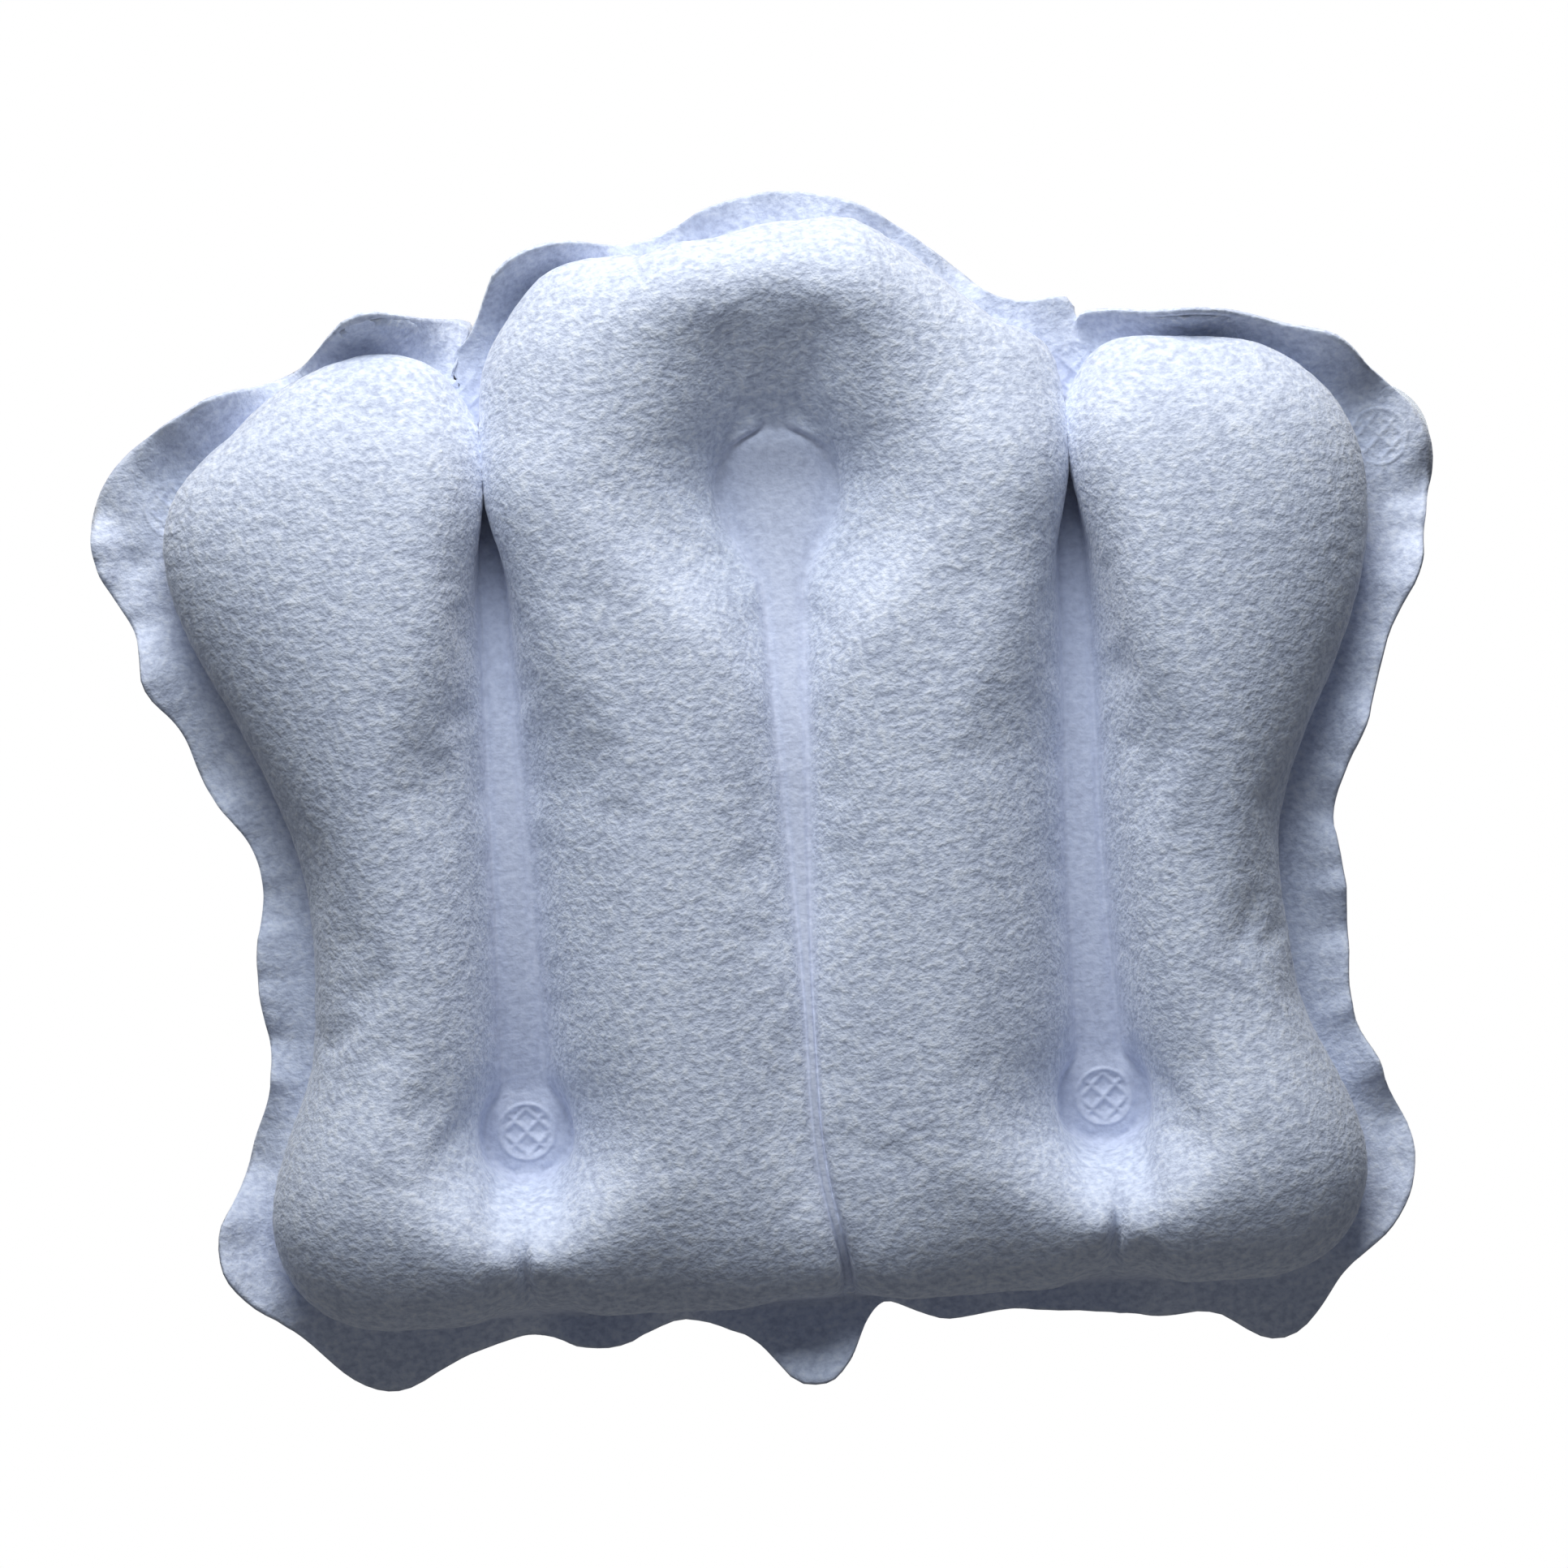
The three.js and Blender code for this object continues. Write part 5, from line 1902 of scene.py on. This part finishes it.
@dataclass
class AirValve:
    """Push-in valve on the back sheet: plate, diaphragm, stem, plug with its strap, and flap.

    Attributes:
        finish: The finish of all its pieces.
        roundings: Width of the edge rounding of each piece, by its node.
        fit: Room between pieces that fit into each other.
        bead: Size of the small bevels and of the corners of the ears.
        steps: Rings along the diaphragm's cone.
        strap_cuts: Cuts along each side of the strap.
        flap_sides: Number of sides of the flap.
    """

    finish: VinylFinish = VALVE_VINYL
    roundings: tuple[tuple[str, float], ...] = (
        ("valve_base", 0.00015),
        ("valve_diaphragm", 0.0001),
        ("valve_stem", 0.0002),
        ("valve_plug", 0.0002),
        ("plug_strap", 0.00018),
        ("check_flap", 0.00012),
    )
    hole_radius: float = STEM_HOLE_RADIUS
    plate_radius: float = 0.015
    plate_land: float = 0.0026
    plate_feather: float = 0.0007
    diaphragm_wall: float = 0.0009
    diaphragm_ripple: float = 0.0003
    steps: int = 14
    fit: float = 0.0003
    stem_radius: float = 0.0055
    bore_radius: float = 0.004
    collar_radius: float = 0.007
    collar_thickness: float = 0.001
    bead: float = 0.0004
    ear_width: float = 0.005
    cap_radius: float = 0.0065
    cap_thickness: float = 0.0015
    shank_radius: float = 0.0037
    shank_taper: float = 0.0006
    dimple_radius: float = 0.0034
    dimple_depth: float = 0.0005
    tab_width: float = 0.005
    strap_width: float = 0.004
    strap_thickness: float = 0.0008
    strap_neck: float = 0.0008
    strap_cuts: int = 6
    flap_radius: float = 0.0048
    flap_sides: int = 48
    flap_tab_width: float = 0.003

    def __post_init__(self) -> None:
        """Finds the valve's middle from its plate and makes its material."""
        self.x, self.z = middle_of("valve_base")
        self.material = self.finish.build()

    def dress(self, piece: bpy.types.Object, node: str, body: str | None) -> None:
        """Softens a piece, gives it its finish and hands it to its body.

        Args:
            piece: The piece.
            node: The node that it stands for.
            body: The body that it rides on, or none for a piece that rides on no body.
        """
        Bench.soften(piece, dict(self.roundings)[node])
        piece.data.materials.append(self.material)
        if body:
            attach(piece, body)
        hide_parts(node)
        self.finish.name
        log.info("%s: %d faces", piece.name, len(piece.data.polygons))

    def plate(self) -> None:
        """The plate, with a raised weld land that feathers out at its edge."""
        low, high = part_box("valve_base")
        land = self.plate_radius - self.plate_land
        feather = high[1] - self.plate_feather
        rings = [
            (self.hole_radius, low[1]),
            (self.plate_radius, low[1]),
            (self.plate_radius, feather),
            (land + self.bead, feather + self.bead / 2),
            (land, high[1]),
            (self.hole_radius + self.bead, high[1]),
            (self.hole_radius, high[1] - self.bead / 2),
        ]
        piece = Lathe("valve_plate", self.x, self.z).draw(rings, is_tube=True)
        self.dress(piece, "valve_base", "root")

    def diaphragm(self) -> None:
        """The soft cone between the plate and the stem, modelled at rest; on the real valve it
        turns inside out with the stem.
        """
        low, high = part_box("valve_diaphragm")
        outside = self.hole_radius - self.fit
        inside = self.stem_radius + self.fit
        span = high[1] - low[1] - self.diaphragm_wall
        back, front = [], []
        for k in range(self.steps + 1):
            share = k / self.steps
            radius = inside + (outside - inside) * share
            level = low[1] + span * eased(share)
            ripple = self.diaphragm_ripple * math.sin(4 * math.pi * share)
            front.append((radius, level + ripple))
            back.append((radius, level + self.diaphragm_wall + ripple))
        piece = Lathe("valve_cone", self.x, self.z).draw(back + front[::-1], is_tube=True)
        self.dress(piece, "valve_diaphragm", None)
        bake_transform(piece)

    def stem(self) -> None:
        """The blow tube, with a beaded collar and the ear that carries the strap."""
        low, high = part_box("valve_stem")
        front = high[1] - self.collar_thickness
        rings = [
            (self.bore_radius, low[1]),
            (self.stem_radius - self.bead, low[1]),
            (self.stem_radius, low[1] + self.bead),
            (self.stem_radius, front),
            (self.collar_radius, front),
            (self.collar_radius, high[1]),
            (self.bore_radius + 2 * self.bead, high[1]),
            (self.bore_radius, high[1] - 2 * self.bead),
        ]
        piece = Lathe("blow_tube", self.x, self.z).draw(rings, is_tube=True)
        half = self.ear_width / 2
        root = self.z + (self.bore_radius + self.stem_radius) / 2
        bottom = Vector((self.x - half, front, root))
        top = Vector((self.x + half, high[1], high[2]))
        Bench.join(piece, Bench.block("ear", bottom, top, self.bead))
        self.dress(piece, "valve_stem", "stem")

    def plug(self) -> None:
        """The plug, with a dimpled cap and a tab to pull it by."""
        low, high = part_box("valve_plug")
        cap = high[1] - self.cap_thickness
        rings = [
            (self.shank_radius - 2 * self.shank_taper, low[1]),
            (self.shank_radius - self.shank_taper, low[1] + self.bead),
            (self.shank_radius, cap - self.fit),
            (self.shank_radius, cap),
            (self.cap_radius, cap),
            (self.cap_radius, high[1] - self.bead),
            (self.cap_radius - self.bead, high[1]),
            (self.dimple_radius + self.bead, high[1]),
            (self.dimple_radius - self.bead, high[1] - self.dimple_depth),
        ]
        piece = Lathe("stopper", self.x, self.z).draw(rings)
        half = self.tab_width / 2
        inside = cap + self.fit / 2
        bottom = Vector((self.x - half, inside, low[2]))
        top = Vector((self.x + half, inside + self.strap_thickness, self.z - self.cap_radius / 2))
        Bench.join(piece, Bench.block("tab", bottom, top, self.strap_thickness))
        self.dress(piece, "valve_plug", "plug")

    def strap(self) -> None:
        """The flat strap between the plug and the ear, thinned where it folds."""
        low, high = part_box("plug_strap")
        piece = Bench.cuboid("stopper_strap", Vector(low), Vector(high))
        bpy.ops.object.mode_set(mode="EDIT")
        bpy.ops.mesh.subdivide(number_cuts=self.strap_cuts)
        mesh = bmesh.from_edit_mesh(piece.data)
        length = high[2] - low[2]
        edge = self.cap_radius + self.fit
        for vertex in mesh.verts:
            away = (vertex.co.z - low[2]) / length
            necked = 1 - self.strap_neck / self.strap_width * math.sin(math.pi * away)
            vertex.co.x = self.x + (vertex.co.x - self.x) * necked
            if away < 0.5:
                arc = math.sqrt(edge**2 - (vertex.co.x - self.x) ** 2)
                vertex.co.z += (self.z + arc - low[2]) * (1 - 2 * away)
        bmesh.update_edit_mesh(piece.data)
        bpy.ops.object.mode_set(mode="OBJECT")
        self.dress(piece, "plug_strap", "plug")

    def flap(self) -> None:
        """The flap at the tube's inner end, with the tab that it folds on."""
        low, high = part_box("check_flap")
        rings = [
            (self.flap_radius - 2 * self.bead, low[1]),
            (self.flap_radius, low[1] + self.bead / 2),
            (self.flap_radius, high[1]),
            (self.bore_radius - self.bead, high[1]),
            (self.bore_radius - 2 * self.bead, high[1] - self.bead / 2),
        ]
        piece = Lathe("flap_disc", self.x, self.z, self.flap_sides).draw(rings)
        half = self.flap_tab_width / 2
        bottom = Vector((self.x - half, low[1], self.z + self.flap_radius / 2))
        top = Vector((self.x + half, high[1], high[2]))
        Bench.join(piece, Bench.block("flap_tab", bottom, top, self.bead))
        self.dress(piece, "check_flap", "flap")

    def build(self) -> None:
        """Builds all the valve's pieces."""
        self.plate()
        self.diaphragm()
        self.stem()
        self.plug()
        self.strap()
        self.flap()


@dataclass(frozen=True)
class Lamp:
    """A soft square lamp that faces the pillow.

    Attributes:
        name: Its name.
        place: Where it hangs.
        size: Length of its side.
        watts: Its power.
        tint: Its colour.
    """

    name: str
    place: tuple[float, float, float]
    size: float
    watts: float
    tint: Colour

    def hang(self) -> None:
        """Adds the lamp to the scene."""
        data = bpy.data.lights.new(self.name, "AREA")
        data.size, data.energy, data.color = self.size, self.watts, self.tint
        lamp = bpy.data.objects.new(self.name, data)
        lamp.location = self.place
        lamp.rotation_euler = (-Vector(self.place)).to_track_quat("-Z", "Y").to_euler()
        bpy.context.scene.collection.objects.link(lamp)


LAMPS = (
    Lamp("ceiling", (-0.03, -0.27, 0.98), 0.5, 5.6, (1.0, 0.93, 0.84)),
    Lamp("window", (-0.10, -0.82, 1.10), 0.8, 14.9, (0.86, 0.93, 1.0)),
    Lamp("behind", (0.3, 1.1, 0.8), 0.8, 6.0, (0.95, 0.97, 1.0)),
)


@dataclass
class Studio:
    """Camera at the photograph's angle, soft light from above and a pale floor.

    Attributes:
        aim: The point that the middle of the picture shows.
        distance: From the camera to that point.
        picture_width: Width of what the picture shows there.
        roll: Turn of the camera about its own line of sight.
        sensor: Width of the camera's sensor in millimetres.
        floor_z: Level of the floor.
        floor_side: Length of its side.
        floor_pale: Its grey, where it is seen.
        floor_dim: Its grey for the light that it throws back.
        floor_glow: Strength of its glow, where it is seen.
        floor_roughness: How matt it is, from 0 to 1.
        air_tint: Colour of the dim light all round.
        air_strength: Strength of that light.
        lamps: The lamps.
    """

    aim: Vector = field(default_factory=lambda: Vector((-0.0032, -0.035, 0.0004)))
    distance: float = 1.5
    picture_width: float = 0.4439
    roll: float = math.radians(-3.5)
    sensor: float = 36.0
    floor_z: float = -1.2
    floor_side: float = 8.0
    floor_pale: float = 0.9
    floor_dim: float = 0.3
    floor_glow: float = 0.75
    floor_roughness: float = 0.8
    air_tint: Colour = (0.80, 0.86, 1.0)
    air_strength: float = 0.108
    lamps: tuple[Lamp, ...] = LAMPS

    def set_camera(self) -> None:
        """Makes the camera."""
        data = bpy.data.cameras.new("camera")
        data.sensor_width = self.sensor
        data.lens = self.sensor * self.distance / self.picture_width
        camera = bpy.data.objects.new("camera", data)
        camera.location = self.aim - Vector((0, self.distance, 0))
        turn = Euler((math.pi / 2, 0, 0)).to_matrix() @ Matrix.Rotation(self.roll, 3, "Z")
        camera.rotation_euler = turn.to_euler()
        bpy.context.scene.collection.objects.link(camera)
        bpy.context.scene.camera = camera

    def set_world(self) -> None:
        """White for the camera, and a dim even light for everything else."""
        world = bpy.data.worlds.new("air")
        sketch = NodeSketch(world)
        white = sketch.add("Background", {"Color": (1, 1, 1, 1)})
        dim = {"Color": (*self.air_tint, 1), "Strength": self.air_strength}
        light = sketch.add("Background", dim)
        shaders = {0: sketch.seen(), 1: light.outputs[0], 2: white.outputs[0]}
        pick = sketch.add("MixShader", shaders)
        sketch.add("OutputWorld", {"Surface": pick.outputs[0]})
        bpy.context.scene.world = world

    def lay_floor(self) -> None:
        """A plain pale floor that keeps the pillow's shadow."""
        place = (0, 0, self.floor_z)
        bpy.ops.mesh.primitive_plane_add(size=self.floor_side, location=place)
        floor = bpy.context.object
        floor.name = "floor"
        material = bpy.data.materials.new("pale_floor")
        sketch = NodeSketch(material)
        thrown = sketch.add("LightPath").outputs["Is Diffuse Ray"]
        pale, dim = ((grey, grey, grey, 1) for grey in (self.floor_pale, self.floor_dim))
        base = {"Base Color": sketch.mix(thrown, pale, dim)}
        base["Roughness"] = self.floor_roughness
        plain = sketch.add("BsdfPrincipled", base).outputs[0]
        glow = sketch.add("Emission", {"Strength": self.floor_glow}).outputs[0]
        lit = sketch.add("AddShader", {0: plain, 1: glow}).outputs[0]
        pick = sketch.add("MixShader", {0: sketch.seen(), 1: plain, 2: lit})
        sketch.add("OutputMaterial", {"Surface": pick.outputs[0]})
        floor.data.materials.append(material)

    def build(self) -> None:
        """Builds the camera, the lights, the world and the floor."""
        bpy.context.scene.view_settings.view_transform = "Standard"
        self.set_camera()
        self.set_world()
        self.lay_floor()
        for lamp in self.lamps:
            lamp.hang()


def main() -> None:
    """Builds the pillow's pieces in order and reports them."""
    logging.basicConfig(level=logging.INFO, format="%(name)s: %(message)s")
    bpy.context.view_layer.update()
    bpy.ops.object.select_all(action="DESELECT")
    Studio().build()
    envelope = Envelope()
    TerrySheet(Side.FRONT, envelope, FRONT_TERRY).build()
    TerrySheet(Side.BACK, envelope, BACK_TERRY).build()
    CupSet().build()
    AirValve().build()


if __name__ == "__main__":
    main()
